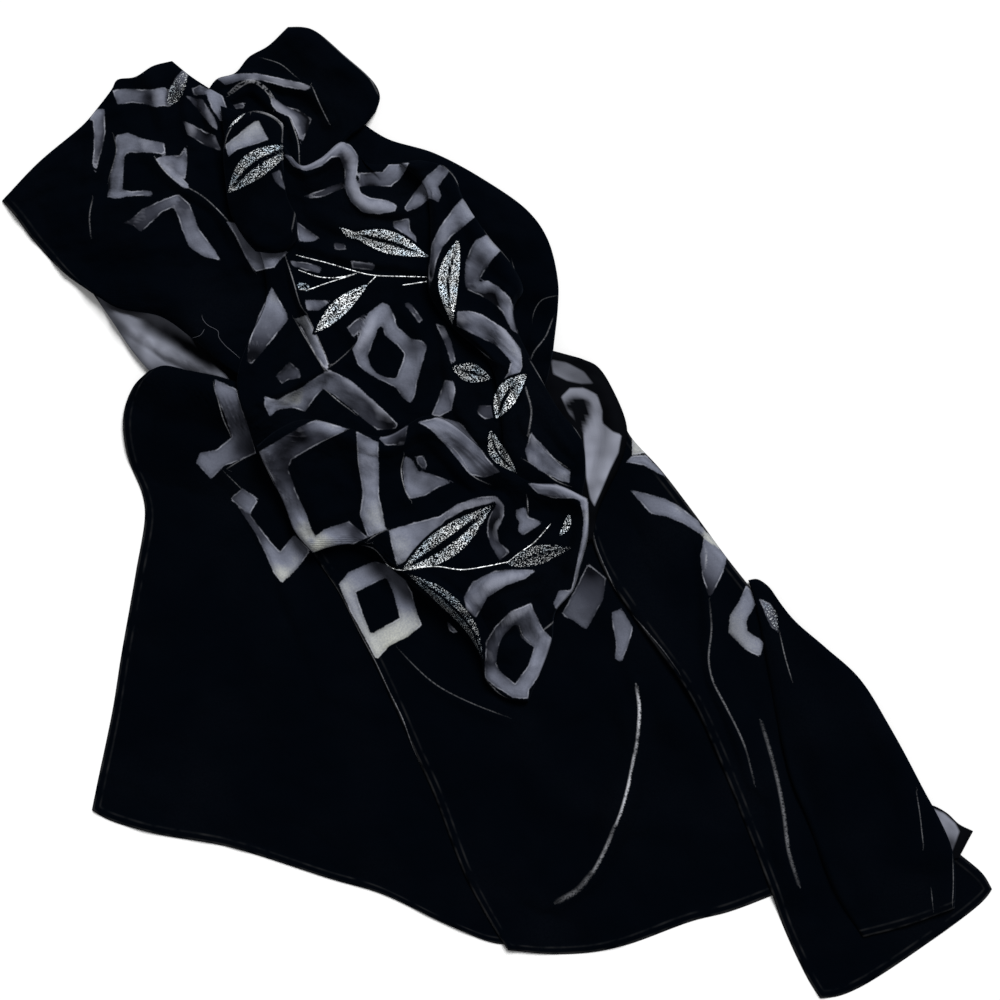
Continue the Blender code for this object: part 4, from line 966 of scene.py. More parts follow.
def wall_of(stretch, plan, height, cloth, hem):
    """Upright thickness of the cloth: greater where it is steep, and double in the hem."""
    down = np.gradient(height, axis=0) / np.linalg.norm(np.gradient(plan, axis=0), axis=2)
    across = np.gradient(height, axis=1) / np.linalg.norm(np.gradient(plan, axis=1), axis=2)
    wall = cloth * np.minimum(np.sqrt(1 + down**2 + across**2), STEEPEST_WALL)
    for kind, distance in zip(stretch.edges, from_sides(plan)):
        if kind == "hem":
            turned = np.clip((hem + 1.5 - distance) / 2.5, 0, 1)
            wall += 0.6 * cloth * turned
            wall -= HEM_STITCH * np.exp(-(((distance - hem + 1.0) / 1.1) ** 2))
        rounding = 1 - np.clip(distance / ROUNDING, 0, 1)
        wall *= 0.25 + 0.75 * np.sqrt(1 - rounding**2)
    return wall


def pour(below, plan, top):
    """Raises the height map to the top of the stretch."""
    corners, weights = samples_of(plan)
    places = np.einsum("sk,qkc->qsc", weights, plan.reshape(-1, 2)[corners])
    column, row = np.moveaxis(cells_of(places), 2, 0)
    np.maximum.at(below, (row, column), top.ravel()[corners] @ weights.T)


def placed(places, height):
    """Plan places and heights in millimetres as metres in the part's own frame."""
    across, down = np.moveaxis(places, -1, 0)
    return np.stack([across - MIDDLE[0], MIDDLE[1] - down, height], axis=-1) * MM


def smoothed(values, cells):
    """Each value averaged with those so many cells to each side, twice."""
    for _ in range(2):
        for axis in (0, 1):
            padding = [(cells, cells) if a == axis else (0, 0) for a in (0, 1)]
            wide = np.cumsum(np.pad(values, padding, "edge"), axis=axis)
            wide = np.insert(wide, 0, 0.0, axis=axis)
            count = values.shape[axis]
            upper = np.take(wide, np.arange(count) + 2 * cells + 1, axis=axis)
            values = (upper - np.take(wide, np.arange(count), axis=axis)) / (2 * cells + 1)
    return values


def form_of(stretch, plan, top):
    """For each place: distance from a hem, how far it stands up as a crest, how deep it lies."""
    distance = np.full(plan.shape[:2], FAR)
    for kind, away in zip(stretch.edges, from_sides(plan)):
        if kind == "hem":
            distance = np.minimum(distance, away)
    crest = top - smoothed(top, max(1, round(CREST_REACH / stretch.step)))
    hollow = smoothed(top, max(1, round(HOLLOW_REACH / stretch.step))) - top
    return np.stack([distance, crest, hollow], axis=-1)


def sheer_of(stretch, plan):
    """For each place: how far inside the sheer ground it is, and the ground's painted shade."""
    inside = np.full(plan.shape[:2], -FAR)
    shade = np.zeros(plan.shape[:2])
    for sheer in SHEERS:
        if stretch.name not in sheer.stretch.split():
            continue
        depth = inside_corners(sheer.corners, plan)
        if sheer.hole:
            depth = np.minimum(depth, -inside_corners(sheer.hole, plan))
        low, high = np.min(sheer.corners, axis=0), np.max(sheer.corners, axis=0)
        out = np.clip((2 * plan - low - high) / (high - low), -1, 1)
        shade = np.where(depth > inside, sheer.shade + out @ np.array(sheer.fall), shade)
        inside = np.maximum(inside, depth)
    # Painted spots of light and shade on the ground.
    for tone in PAINTED_LIGHT_AND_SHADE:
        if tone.stretch == stretch.name:
            away = np.linalg.norm(plan - np.array(tone.place), axis=2)
            shade = shade + tone.change * np.exp(-((away / tone.reach) ** 2))
    return np.stack([inside, np.clip(shade, 0.0, 2.0), np.zeros_like(inside)], axis=-1)


def leaves_of(stretch, plan):
    """For each place: how far inside a leaf it is, how far beside its bare midrib, the foil.
    The bed of pile round a small leaf is narrower, so distances outside it count for more."""
    inside = np.full(plan.shape[:2], -FAR)
    rib = np.zeros(plan.shape[:2])
    foil = np.zeros(plan.shape[:2])
    for leaf in LEAVES:
        if stretch.name not in leaf.stretch.split():
            continue
        across, along = beside_guide(leaf.guide, plan)
        belly = np.sin(np.pi * np.clip(along, 0, 1) ** 0.9) ** 1.05
        depth = leaf.width / 2 * belly - np.abs(across)
        depth = np.where(depth < 0, depth * max(1.0, 20.0 / leaf.width), depth)
        better = depth > inside
        inside = np.where(better, depth, inside)
        rib = np.where(better, np.abs(across) - 0.0036 * leaf.width**2 * belly, rib)
        foil = np.where(better, leaf.foil, foil)
    return np.stack([inside, rib, foil], axis=-1)


def marks_of(stretch, plan):
    """For each place: signed and plain distance from the nearest mark, in the mark's half
    widths, and the mark's strength."""
    nearest = np.full(plan.shape[:2], FAR)
    signed = np.full(plan.shape[:2], FAR)
    strength = np.zeros(plan.shape[:2])
    for mark in MARKS:
        if mark.stretch != stretch.name:
            continue
        across, along = beside_guide(mark.guide, plan)
        fade = np.sin(np.pi * np.clip(along, 0.03, 0.97)) ** 0.4
        nearer = np.abs(across) < nearest
        nearest = np.where(nearer, np.abs(across), nearest)
        signed = np.where(nearer, across / mark.half_width, signed)
        strength = np.where(nearer, mark.strength * fade, strength)
    return np.stack([signed, nearest, strength], axis=-1)


def shell(name, under, top, attributes, finish):
    """A closed sheet of cloth between two grids of places, with its pattern on its points."""
    rows, columns = under.shape[:2]
    count = rows * columns
    index = np.arange(count).reshape(rows, columns)
    quads = np.stack([index[:-1, :-1], index[1:, :-1], index[1:, 1:], index[:-1, 1:]], axis=-1)
    upper = quads.reshape(-1, 4)
    lower = upper[:, ::-1] + count
    rim = np.concatenate([index[0, :-1], index[:-1, -1], index[-1, :0:-1], index[:0:-1, 0]])
    following = np.roll(rim, -1)
    sides = np.stack([rim, following, following + count, rim + count], axis=1)
    faces = np.concatenate([upper, lower, sides])
    mesh = bpy.data.meshes.new(name)
    points = np.concatenate([top.reshape(-1, 3), under.reshape(-1, 3)])
    mesh.from_pydata(points.tolist(), [], faces.tolist())
    for label, values in attributes.items():
        flat = values.reshape(count, -1)
        flat = np.concatenate([flat, flat])
        kind, field = ("FLOAT_VECTOR", "vector") if flat.shape[1] == 3 else ("FLOAT", "value")
        made = mesh.attributes.new(label, kind, "POINT")
        made.data.foreach_set(field, flat.ravel())
    mesh.shade_smooth()
    mesh.materials.append(finish)
    piece = bpy.data.objects.new(name, mesh)
    bpy.context.scene.collection.objects.link(piece)
    return piece


def lying_on(piece, guide, lift):
    """Places every millimetre along a guide, on the piece's upper side, in metres."""
    mesh = piece.data
    points = [vertex.co for vertex in mesh.vertices]
    tree = BVHTree.FromPolygons(points, [face.vertices for face in mesh.polygons])
    count = max(6, round(length_of(guide)))
    places = placed(curve_through(guide, np.linspace(0.0, 1.0, count)), np.zeros(count))
    found = []
    for across, down, _ in places:
        hit = tree.ray_cast(Vector((across, down, 1.0)), Vector((0.0, 0.0, -1.0)))[0]
        if hit is not None:
            found.append((across, down, hit.z + lift * MM))
    return np.array(found)


def ribbon(name, runs, wide, thick, finish):
    """Narrow closed strips along the runs, tapered at both ends, as one piece."""
    points, faces = [], []
    for run in runs:
        heading = np.gradient(run, axis=0)
        beside = np.stack([-heading[:, 1], heading[:, 0], np.zeros(len(run))], axis=1)
        beside /= np.linalg.norm(beside, axis=1)[:, None] + 1e-12
        taper = np.clip(np.sin(np.linspace(0.06, 0.94, len(run)) * np.pi) * 2.2, 0.3, 1.0)[:, None]
        offset = beside * taper * wide / 2 * MM
        up = np.array((0.0, 0.0, thick * MM))
        section = np.stack([run - offset, run - offset * 0.5 + up, run + offset * 0.5 + up,
                            run + offset], axis=1)
        first = len(points)
        points += section.reshape(-1, 3).tolist()
        for k in range(len(run) - 1):
            here = first + k * 4
            for a, b in ((0, 1), (1, 2), (2, 3), (3, 0)):
                faces.append((here + a, here + b, here + 4 + b, here + 4 + a))
        faces.append((first + 3, first + 2, first + 1, first))
        last = first + (len(run) - 1) * 4
        faces.append((last, last + 1, last + 2, last + 3))
    mesh = bpy.data.meshes.new(name)
    mesh.from_pydata(points, [], faces)
    mesh.shade_smooth()
    mesh.materials.append(finish)
    piece = bpy.data.objects.new(name, mesh)
    bpy.context.scene.collection.objects.link(piece)
    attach(piece, "root")
    return piece


def add_node(tree, kind, links=None, **settings):
    """A node with its settings. links gives each input its value or the socket it comes from."""
    node = tree.nodes.new("ShaderNode" + kind)
    for name, value in settings.items():
        setattr(node, name, value)
    for name, value in (links or {}).items():
        if isinstance(value, bpy.types.NodeSocket):
            tree.links.new(value, node.inputs[name])
        else:
            node.inputs[name].default_value = value
    return node


def new_finish(name):
    """An empty material and its node tree."""
    finish = bpy.data.materials.new(name)
    finish.use_nodes = True
    finish.node_tree.nodes.clear()
    return finish, finish.node_tree


# Devore velvet of silk and viscose: short dense pile that swallows light, burnt away to a
# sheer twisted ground. The eye sees deep black, and grey gauze with a thin frayed border.
# Shade in the gauze, and highlights on its crests, hems, fold edges and border, are painted
# into the colour.
def burnt_out_velvet(cloth):
    finish, tree = new_finish("burnt_out_velvet")
    at = add_node(tree, "TexCoord").outputs["Object"]

    def parts(label):
        vector = add_node(tree, "Attribute", attribute_name=label).outputs["Vector"]
        return add_node(tree, "SeparateXYZ", {"Vector": vector}).outputs

    def maths(operation, first, second=0.0, third=None, clamp=False):
        inputs = {0: first, 1: second}
        if third is not None:
            inputs[2] = third
        return add_node(tree, "Math", inputs, operation=operation, use_clamp=clamp).outputs[0]

    def noise(scale, detail=2.0, rough=0.5):
        inputs = {"Vector": at, "Scale": scale, "Detail": detail, "Roughness": rough}
        return add_node(tree, "TexNoise", inputs).outputs["Fac"]

    def mixed(share, first, second):
        node = add_node(tree, "Mix", {0: share, 6: first, 7: second}, data_type="RGBA")
        return node.outputs[2]

    def band(distance, half_width, soft):
        """1 within half_width of 0, fading to 0 over soft."""
        size = maths("ABSOLUTE", distance)
        return maths("MULTIPLY_ADD", size, -1.0 / soft, half_width / soft + 1.0, clamp=True)

    inside, shade, _ = parts("sheer")
    in_leaf, from_rib, foil = parts("leaf")
    from_mark, near_mark, strength = parts("mark")
    from_hem, crest, hollow = parts("form")

    tufts = noise(620.0)  # pile tufts, about 1.6 mm across, drawn coarse enough to show
    ragged = noise(150.0)  # the burnt edge wanders over 6 or 7 mm
    patchy = noise(60.0)  # light catches a line only here and there, every 16 mm
    mottle = noise(24.0, 1.0)  # handling, 40 mm
    broad = noise(9.0)  # large soft changes in the pile, 110 mm

    wander = maths("MULTIPLY_ADD", ragged, 1.6, -0.8)
    fray = maths("MULTIPLY_ADD", tufts, 1.4, -0.7)
    edge = maths("ADD", maths("ADD", inside, wander), fray)
    burnt = maths("MULTIPLY_ADD", edge, 1.1, 0.5, clamp=True)

    # The border of the burnt ground: a painted highlight where cut pile ends stand up and catch
    # the light.
    here = maths("MULTIPLY_ADD", patchy, 4.0, -1.9, clamp=True)
    border = maths("MULTIPLY", band(maths("SUBTRACT", edge, 0.5), 0.3, 0.7), here)

    # The weave's grain shows more the lighter the ground is.
    grain = maths("MULTIPLY", maths("SUBTRACT", tufts, 0.5), maths("MULTIPLY", shade, shade))
    lightness = maths("MULTIPLY_ADD", grain, 0.16, maths("MULTIPLY", shade, 0.5))
    ramp = add_node(tree, "ValToRGB", {"Fac": lightness})
    stops = ramp.color_ramp.elements
    stops[0].color = (*linear(SHEER_IN_DEEP_SHADE), 1.0)
    stops[1].color = (*linear(PALE_SHEER), 1.0)
    for place, colour in ((0.2, linear(SHADED_SHEER)), (0.5, cloth.sheer_colour)):
        stops.new(place).color = (*colour, 1.0)
    # Painted shade: the gauze darkens in hollows and near the pile's edge, plus random mottle.
    painted_shade_and_mottle = maths("MULTIPLY_ADD", hollow, 0.15, maths("MULTIPLY_ADD", mottle, 0.6, -0.3),
                 clamp=True)
    painted_shade_and_mottle = maths("MULTIPLY_ADD", band(edge, 0.0, 4.0), 0.4, painted_shade_and_mottle, clamp=True)
    gauze = mixed(painted_shade_and_mottle, ramp.outputs["Color"], (*linear(SHEER_IN_DEEP_SHADE), 1.0))
    # Painted highlight where the gauze stands up in a crest.
    lit = maths("MULTIPLY_ADD", crest, 0.4, -0.2, clamp=True)
    gauze = mixed(maths("MULTIPLY", lit, 0.3), gauze, (*linear("#a9acba"), 1.0))
    gauze = mixed(maths("MULTIPLY", border, 0.5), gauze, (*linear("#b4b7c2"), 1.0))

    # The pile: near black, a little lighter and warmer where handling has bruised it.
    bruise = maths("MULTIPLY_ADD", broad, 2.2, -1.0, clamp=True)
    bruise = maths("MULTIPLY", bruise, maths("MULTIPLY_ADD", tufts, 1.6, -0.3, clamp=True))
    pile = mixed(maths("MULTIPLY", bruise, 0.4), (*cloth.velvet_colour, 1.0),
                 (*linear("#101216"), 1.0))

    # Hems, crests and pressed marks: a painted highlight along the hem's fold edge and along fold
    # edges and crests, pile pressed open and showing its paler sides on the marks, and a fainter
    # line along the hem's stitches.
    pressed_line_and_highlight = maths("MULTIPLY", band(maths("ADD", from_mark, fray), 0.5, 1.2), strength)
    pressed_line_and_highlight = maths("MULTIPLY", pressed_line_and_highlight, maths("LESS_THAN", near_mark, 4.0))
    pressed_line_and_highlight = maths("MULTIPLY", pressed_line_and_highlight, maths("MULTIPLY_ADD", patchy, 1.5, 0.1, clamp=True))
    pressed_line_and_highlight = maths("MULTIPLY", pressed_line_and_highlight, maths("MULTIPLY_ADD", tufts, 3.0, -0.6, clamp=True))
    hem_edge_highlight = band(maths("SUBTRACT", from_hem, 1.2), 0.3, 1.6)
    on_stitch = band(maths("SUBTRACT", from_hem, cloth.hem_width / MM - 1.0), 0.2, 1.4)
    hem_highlight_and_stitches = maths("MULTIPLY_ADD", on_stitch, 0.4, hem_edge_highlight)
    uneven = maths("MULTIPLY_ADD", patchy, 1.6, -0.6, clamp=True)
    pile = mixed(maths("MULTIPLY", hem_highlight_and_stitches, uneven), pile, (*linear("#3b3b3c"), 1.0))
    pressed_line_and_highlight = maths("POWER", pressed_line_and_highlight, 1.6)
    pile = mixed(pressed_line_and_highlight, pile, (*linear("#b2b4ba"), 1.0))
    surface = mixed(burnt, pile, gauze)
    surface = mixed(maths("MULTIPLY", pressed_line_and_highlight, 0.6), surface, (*linear("#b2b4ba"), 1.0))

    # Foil: crackled silver film glued on a bed of pile, broken by black specks.
    bed = maths("MULTIPLY_ADD", maths("ADD", in_leaf, fray), 1.0, 3.2, clamp=True)
    leaf = maths("MULTIPLY_ADD", maths("ADD", in_leaf, fray), 1.5, 0.2, clamp=True)
    flakes = maths("MULTIPLY_ADD", noise(920.0, 0.0), 34.0, maths("MULTIPLY_ADD", foil, 2.5, -20.7),
                   clamp=True)
    rib = maths("MULTIPLY_ADD", maths("ADD", from_rib, fray), 0.9, 0.1, clamp=True)
    silver = maths("MULTIPLY", maths("MULTIPLY", leaf, flakes), rib)
    silver = maths("MULTIPLY", silver, maths("MULTIPLY_ADD", foil, 0.65, 0.35, clamp=True))
    bed = maths("MULTIPLY", bed, maths("MULTIPLY", foil, 2.5, clamp=True))
    surface = mixed(bed, surface, (*cloth.velvet_colour, 1.0))
    film = mixed(maths("MULTIPLY_ADD", patchy, 3.0, -1.3, clamp=True),
                 (*cloth.silver_colour, 1.0), (*linear("#c3dcf0"), 1.0))
    surface = mixed(silver, surface, film)

    creases = noise(70.0, 2.0)  # small creases left by the hand, 14 mm
    height = maths("MULTIPLY_ADD", creases, 4.0, maths("SUBTRACT", maths("MULTIPLY", tufts, 0.35),
                                                       burnt))
    normal = add_node(tree, "Bump", {"Strength": 0.4, "Distance": 0.0008, "Height": height})
    shader = add_node(tree, "BsdfPrincipled", {
        "Base Color": surface,
        "Roughness": maths("MULTIPLY_ADD", silver, -0.45, 0.9),
        "Metallic": maths("MULTIPLY", silver, 0.2),
        "Normal": normal.outputs["Normal"],
        "Specular IOR Level": 0.0,
        "Sheen Weight": 0.02,
        "Sheen Roughness": 0.4,
        "Sheen Tint": (*linear("#9fb0d0"), 1.0),
    })
    add_node(tree, "OutputMaterial", {"Surface": shader.outputs["BSDF"]})
    return finish


# Foil pressed on in a thin line: bright film, darker in small patches about 2.4 mm across.
def silver_foil(cloth):
    finish, tree = new_finish("silver_foil")
    at = add_node(tree, "TexCoord").outputs["Object"]
    blotches = add_node(tree, "TexNoise", {"Vector": at, "Scale": 420.0, "Detail": 3.0})
    blotch_mask = add_node(tree, "MapRange", {
        "Value": blotches.outputs["Fac"], "From Min": 0.38, "From Max": 0.56,
    })
    tone = add_node(tree, "Mix", {
        0: blotch_mask.outputs["Result"],
        6: (*linear("#17181b"), 1.0),
        7: (*cloth.silver_colour, 1.0),
    }, data_type="RGBA")
    shader = add_node(tree, "BsdfPrincipled", {
        "Base Color": tone.outputs[2],
        "Roughness": 0.45,
        "Metallic": 0.6,
    })
    add_node(tree, "OutputMaterial", {"Surface": shader.outputs["BSDF"]})
    return finish


# Pulled silk thread: fine, dull and pale against the pile.
def silk_thread(cloth):
    finish, tree = new_finish("silk_thread")
    shader = add_node(tree, "BsdfPrincipled", {
        "Base Color": (*linear("#4c4e56"), 1.0),
        "Roughness": 0.7,
        "Specular IOR Level": 0.2,
    })
    add_node(tree, "OutputMaterial", {"Surface": shader.outputs["BSDF"]})
    return finish


# The velvet's reverse: a smooth closely woven back with no pile. Its soft satin shine and its
# shade are painted into its colour from the sheer ground's painted shade.
def woven_reverse(cloth):
    finish, tree = new_finish("woven_reverse")
    at = add_node(tree, "TexCoord").outputs["Object"]
    threads = add_node(tree, "TexNoise", {"Vector": at, "Scale": 900.0, "Detail": 2.0})
    sheer = add_node(tree, "Attribute", attribute_name="sheer").outputs["Vector"]
    inside, shade, _ = add_node(tree, "SeparateXYZ", {"Vector": sheer}).outputs
    open_ground = add_node(tree, "MapRange", {"Value": inside, "From Min": -0.8, "From Max": 1.2})
    # Painted shade and shine: the pattern's grey follows the sheer ground's painted shade.
    pattern_and_painted_shade = add_node(tree, "Math", {0: open_ground.outputs["Result"], 1: shade},
                    operation="MULTIPLY", use_clamp=True)
    tone = add_node(tree, "Mix", {
        0: pattern_and_painted_shade.outputs[0],
        6: (*linear("#07080b"), 1.0),
        7: (*cloth.reverse_colour, 1.0),
    }, data_type="RGBA")
    normal = add_node(tree, "Bump", {
        "Strength": 0.25, "Distance": 0.0004, "Height": threads.outputs["Fac"],
    })
    shader = add_node(tree, "BsdfPrincipled", {
        "Base Color": tone.outputs[2],
        "Roughness": 0.8,
        "Normal": normal.outputs["Normal"],
        "Specular IOR Level": 0.0,
    })
    add_node(tree, "OutputMaterial", {"Surface": shader.outputs["BSDF"]})
    return finish


# The same velvet with its pile whole, as in the layers folded away inside the heap.
def plain_velvet(cloth):
    finish, tree = new_finish("plain_velvet")
    at = add_node(tree, "TexCoord").outputs["Object"]
    tufts = add_node(tree, "TexNoise", {"Vector": at, "Scale": 620.0, "Detail": 2.0})
    tone = add_node(tree, "Mix", {
        0: tufts.outputs["Fac"],
        6: (*cloth.velvet_colour, 1.0),
        7: (*linear("#0a0c10"), 1.0),
    }, data_type="RGBA")
    normal = add_node(tree, "Bump", {
        "Strength": 0.5, "Distance": 0.0008, "Height": tufts.outputs["Fac"],
    })
    shader = add_node(tree, "BsdfPrincipled", {
        "Base Color": tone.outputs[2],
        "Roughness": 0.92,
        "Normal": normal.outputs["Normal"],
        "Specular IOR Level": 0.0,
        "Sheen Weight": 0.02,
        "Sheen Roughness": 0.4,
        "Sheen Tint": (*linear("#9fb0d0"), 1.0),
    })
    add_node(tree, "OutputMaterial", {"Surface": shader.outputs["BSDF"]})
    return finish


# A painted studio table: pale, even and matt.
def painted_table(stage):
    finish, tree = new_finish("painted_table")
    shader = add_node(tree, "BsdfPrincipled", {
        "Base Color": (*stage.floor_colour, 1.0),
        "Roughness": 0.8,
        "Specular IOR Level": 0.2,
    })
    add_node(tree, "OutputMaterial", {"Surface": shader.outputs["BSDF"]})
    return finish


def finish_named(name, make, settings):
    """The finish of that name, made on first use."""
    return bpy.data.materials.get(name) or make(settings)


class StoleCloth(bpy.types.PropertyGroup):
    thickness: bpy.props.FloatProperty(
        name="Thickness",
        description="Thickness of the velvet with its pile",
        default=1.8 * MM,
        min=0.0,
        unit="LENGTH",
    )
    hem_width: bpy.props.FloatProperty(
        name="Hem width",
        description="Width of the narrow hem that is turned on all sides",
        default=9.0 * MM,
        min=0.0,
        unit="LENGTH",
    )
    fold_depth: bpy.props.FloatProperty(
        name="Fold depth",
        description="How deep the folds are, against those of the real heap",
        default=1.0,
        min=0.0,
        max=1.5,
        subtype="FACTOR",
    )
    velvet_colour: bpy.props.FloatVectorProperty(
        name="Velvet",
        description="Colour of the pile",
        default=linear("#020408"),
        subtype="COLOR",
    )
    sheer_colour: bpy.props.FloatVectorProperty(
        name="Sheer ground",
        description="Colour of the ground where the pile is burnt out",
        default=linear("#6e7280"),
        subtype="COLOR",
    )
    silver_colour: bpy.props.FloatVectorProperty(
        name="Silver foil",
        description="Colour of the foil leaves and stems",
        default=linear("#f6fafc"),
        subtype="COLOR",
    )
    reverse_colour: bpy.props.FloatVectorProperty(
        name="Reverse",
        description="Colour of the back of the velvet",
        default=linear("#80838f"),
        subtype="COLOR",
    )


class StoleStage(bpy.types.PropertyGroup):
    camera_height: bpy.props.FloatProperty(
        name="Camera height",
        description="Height of the camera above the surface",
        default=4.0,
        unit="LENGTH",
    )
    view_width: bpy.props.FloatProperty(
        name="View width",
        description="Width of the surface that the picture takes in",
        default=1.0,
        unit="LENGTH",
    )
    lamp_strength: bpy.props.FloatProperty(
        name="Lamp strength",
        description="Light of the large soft lamp far off at the back, in watts a square metre",
        default=3.6,
    )
    sky_strength: bpy.props.FloatProperty(
        name="Surroundings",
        description="Brightness of the white surroundings",
        default=0.32,
        subtype="FACTOR",
    )
    floor_colour: bpy.props.FloatVectorProperty(
        name="Surface",
        description="Colour of the surface that the stole lies on",
        default=linear("#f0f0f0"),
        subtype="COLOR",
    )


class STOLE_OT_fold_hidden_layers(bpy.types.Operator):
    """Folds the cloth that is hidden inside the heap, in four round-edged layers"""

    bl_idname = "stole.fold_hidden_layers"
    bl_label = "Fold the hidden layers"

    def execute(self, context):
        cloth = context.scene.stole_cloth
        around = np.linspace(0.0, 1.0, LAYER_POINTS, endpoint=False)
        outline = curve_through((*CORE_OUTLINE, CORE_OUTLINE[0]), around)
        middle = np.array(CORE_MIDDLE)
        reach = np.linalg.norm(outline - middle, axis=1).mean()
        rings, heights = [], []
        for layer in range(LAYERS):
            wave = LAYER_WAVE * (1 + np.sin(around * 2 * np.pi * (7 + 2 * layer) + layer))[:, None]
            for set_in, height in LAYER_EDGE:
                share = (layer * LAYER_SET_IN + set_in + wave) / reach
                rings.append(outline + (middle - outline) * share)
                heights.append(layer * LAYER_HEIGHT + height)
        cells = int(2 * MAP_HALF / CELL) + 1
        below = np.zeros((cells, cells))
        for ring, height in zip(rings, heights[1:] + heights[-1:]):
            fine = curve_through(np.vstack([ring, ring[:1]]), np.linspace(0.0, 1.0, RAYS))
            filled = middle + (fine - middle) * np.linspace(0.0, 1.0, RAYS)[:, None, None]
            column, row = np.moveaxis(cells_of(filled), 2, 0)
            np.maximum.at(below, (row, column), height)
        laid["below"] = below
        points = np.concatenate([placed(r, np.full(len(r), h)) for r, h in zip(rings, heights)])
        count = LAYER_POINTS
        here = np.arange(count)
        following = np.roll(here, -1)
        faces = [(here[::-1]).tolist(), (here + (len(rings) - 1) * count).tolist()]
        for ring in range(len(rings) - 1):
            low, high = ring * count, (ring + 1) * count
            faces += np.stack([here + low, following + low, following + high, here + high],
                              axis=1).tolist()
        mesh = bpy.data.meshes.new("hidden_folds")
        mesh.from_pydata(points.tolist(), [], faces)
        mesh.flip_normals()
        mesh.shade_smooth()
        mesh.materials.append(finish_named("plain_velvet", plain_velvet, cloth))
        piece = bpy.data.objects.new("hidden_folds", mesh)
        context.scene.collection.objects.link(piece)
        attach(piece, "root")
        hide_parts("hidden_layers")
        return {"FINISHED"}


class STOLE_OT_lay_cloth(bpy.types.Operator):
    """Lays the fourteen stretches of cloth over each other, from the lowest to the highest"""

    bl_idname = "stole.lay_cloth"
    bl_label = "Lay the cloth"

    def execute(self, context):
        cloth = context.scene.stole_cloth
        below = laid["below"]
        for stretch in STRETCHES:
            plan = plan_of(stretch)
            height = laid_over(stretch, plan, below, cloth.fold_depth)
            wall = wall_of(stretch, plan, height, cloth.thickness / MM, cloth.hem_width / MM)
            pour(below, plan, height + wall)
            if stretch.cloth == "velvet":
                finish = finish_named("burnt_out_velvet", burnt_out_velvet, cloth)
            else:
                finish = finish_named("woven_reverse", woven_reverse, cloth)
            attributes = {
                "sheer": sheer_of(stretch, plan),
                "leaf": leaves_of(stretch, plan),
                "mark": marks_of(stretch, plan),
                "form": form_of(stretch, plan, height + wall),
            }
            name = "cloth_" + stretch.name
            piece = shell(name, placed(plan, height), placed(plan, height + wall), attributes,
                          finish)
            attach(piece, "root")
            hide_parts(stretch.name)
            laid[stretch.name] = piece
        return {"FINISHED"}


class STOLE_OT_press_foil_stems(bpy.types.Operator):
    """Presses the thin silver stems of the leaf sprays on the cloth"""

    bl_idname = "stole.press_foil_stems"
    bl_label = "Press the foil stems"

    def execute(self, context):
        finish = finish_named("silver_foil", silver_foil, context.scene.stole_cloth)
        runs = [lying_on(laid[stem.stretch], stem.guide, 0.1) for stem in STEMS]
        ribbon("foil_stems", runs, STEM_WIDE, 0.25, finish)
        return {"FINISHED"}


class STOLE_OT_pull_threads(bpy.types.Operator):
    """Pulls a few loose threads from the pile"""

    bl_idname = "stole.pull_threads"
    bl_label = "Pull the loose threads"

    def execute(self, context):
        finish = finish_named("silk_thread", silk_thread, context.scene.stole_cloth)
        runs = [lying_on(laid["end_top_left"], guide, 0.2) for guide in THREADS]
        runs = [run for run in runs if len(run) > 3]
        ribbon("loose_threads", runs, THREAD_THICK, THREAD_THICK, finish)
        return {"FINISHED"}


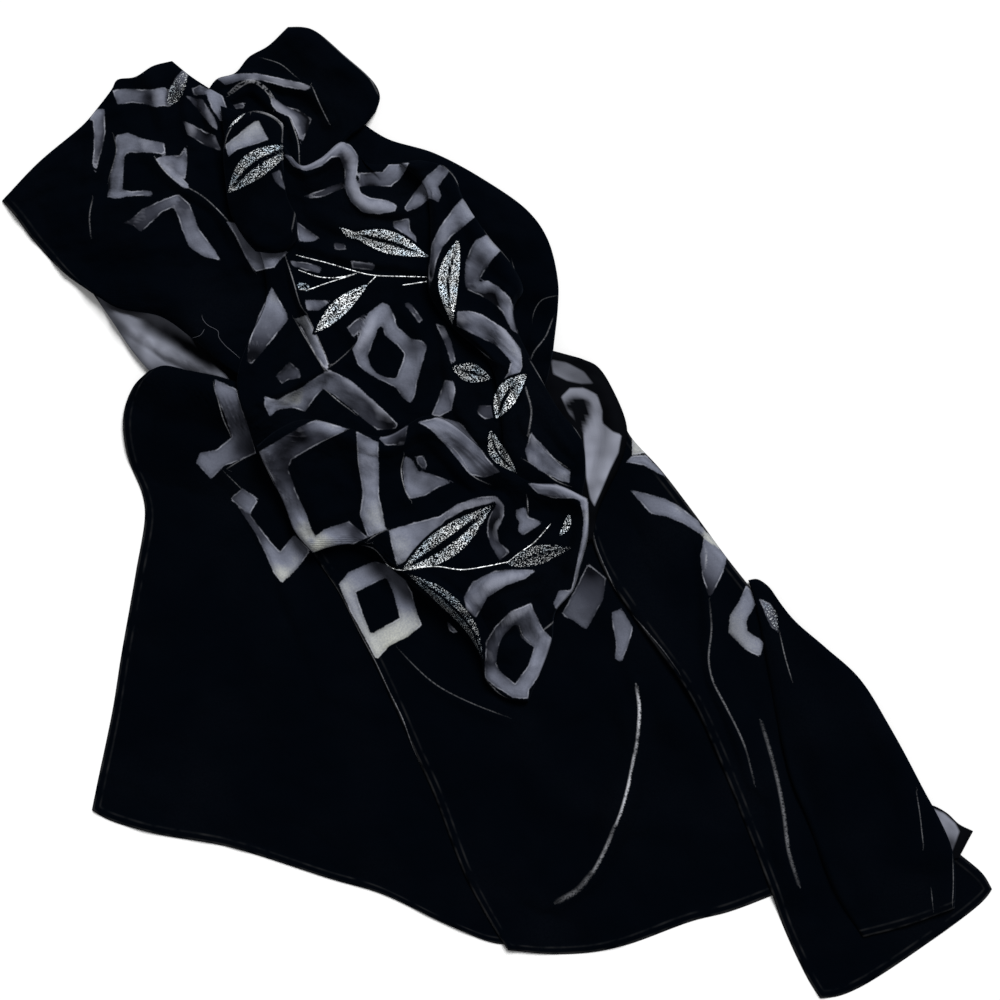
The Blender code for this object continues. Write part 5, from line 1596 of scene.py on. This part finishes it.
class STOLE_OT_set_stage(bpy.types.Operator):
    """Sets the pale surface, the soft light and the camera straight above"""

    bl_idname = "stole.set_stage"
    bl_label = "Set the stage"

    def execute(self, context):
        stage = context.scene.stole_stage
        scene = context.scene
        bpy.ops.mesh.primitive_plane_add(size=12.0, location=(0.0, 0.0, 0.0))
        floor = context.active_object
        floor.name = "floor"
        floor.data.materials.append(painted_table(stage))

        world = bpy.data.worlds.new("white_surroundings")
        world.use_nodes = True
        background = world.node_tree.nodes["Background"]
        background.inputs["Color"].default_value = (1.0, 1.0, 1.0, 1.0)
        background.inputs["Strength"].default_value = stage.sky_strength
        scene.world = world

        lamp = bpy.data.lights.new("far_softbox", "SUN")
        lamp.angle = SOFTBOX_ANGLE
        lamp.energy = stage.lamp_strength
        softbox = bpy.data.objects.new("far_softbox", lamp)
        softbox.location = Vector(SOFTBOX_AT)
        softbox.rotation_mode = "QUATERNION"
        softbox.rotation_quaternion = (-softbox.location).to_track_quat("-Z", "Y")
        scene.collection.objects.link(softbox)

        lens = bpy.data.cameras.new("camera")
        lens.sensor_width = 36.0
        lens.lens = lens.sensor_width * stage.camera_height / stage.view_width
        lens.clip_end = 50.0
        camera = bpy.data.objects.new("camera", lens)
        across, down = 500.0 - MIDDLE[0], MIDDLE[1] - 500.0
        camera.location = (across * MM, down * MM, stage.camera_height)
        scene.collection.objects.link(camera)
        scene.camera = camera
        scene.view_settings.view_transform = "Standard"
        return {"FINISHED"}


class STOLE_PT_panel(bpy.types.Panel):
    bl_label = "Evening stole"
    bl_idname = "STOLE_PT_panel"
    bl_space_type = "VIEW_3D"
    bl_region_type = "UI"
    bl_category = "Stole"

    def draw(self, context):
        layout = self.layout
        for settings in (context.scene.stole_cloth, context.scene.stole_stage):
            column = layout.column()
            for name in settings.__annotations__:
                column.prop(settings, name)
        layout.operator("stole.fold_hidden_layers")
        layout.operator("stole.lay_cloth")
        layout.operator("stole.press_foil_stems")
        layout.operator("stole.pull_threads")
        layout.operator("stole.set_stage")


CLASSES = (
    StoleCloth,
    StoleStage,
    STOLE_OT_fold_hidden_layers,
    STOLE_OT_lay_cloth,
    STOLE_OT_press_foil_stems,
    STOLE_OT_pull_threads,
    STOLE_OT_set_stage,
    STOLE_PT_panel,
)


def register():
    for each in CLASSES:
        bpy.utils.register_class(each)
    bpy.types.Scene.stole_cloth = bpy.props.PointerProperty(type=StoleCloth)
    bpy.types.Scene.stole_stage = bpy.props.PointerProperty(type=StoleStage)


def unregister():
    del bpy.types.Scene.stole_stage
    del bpy.types.Scene.stole_cloth
    for each in reversed(CLASSES):
        bpy.utils.unregister_class(each)


def main():
    register()
    bpy.ops.stole.fold_hidden_layers()
    bpy.ops.stole.lay_cloth()
    bpy.ops.stole.press_foil_stems()
    bpy.ops.stole.pull_threads()
    bpy.ops.stole.set_stage()


if __name__ == "__main__":
    main()
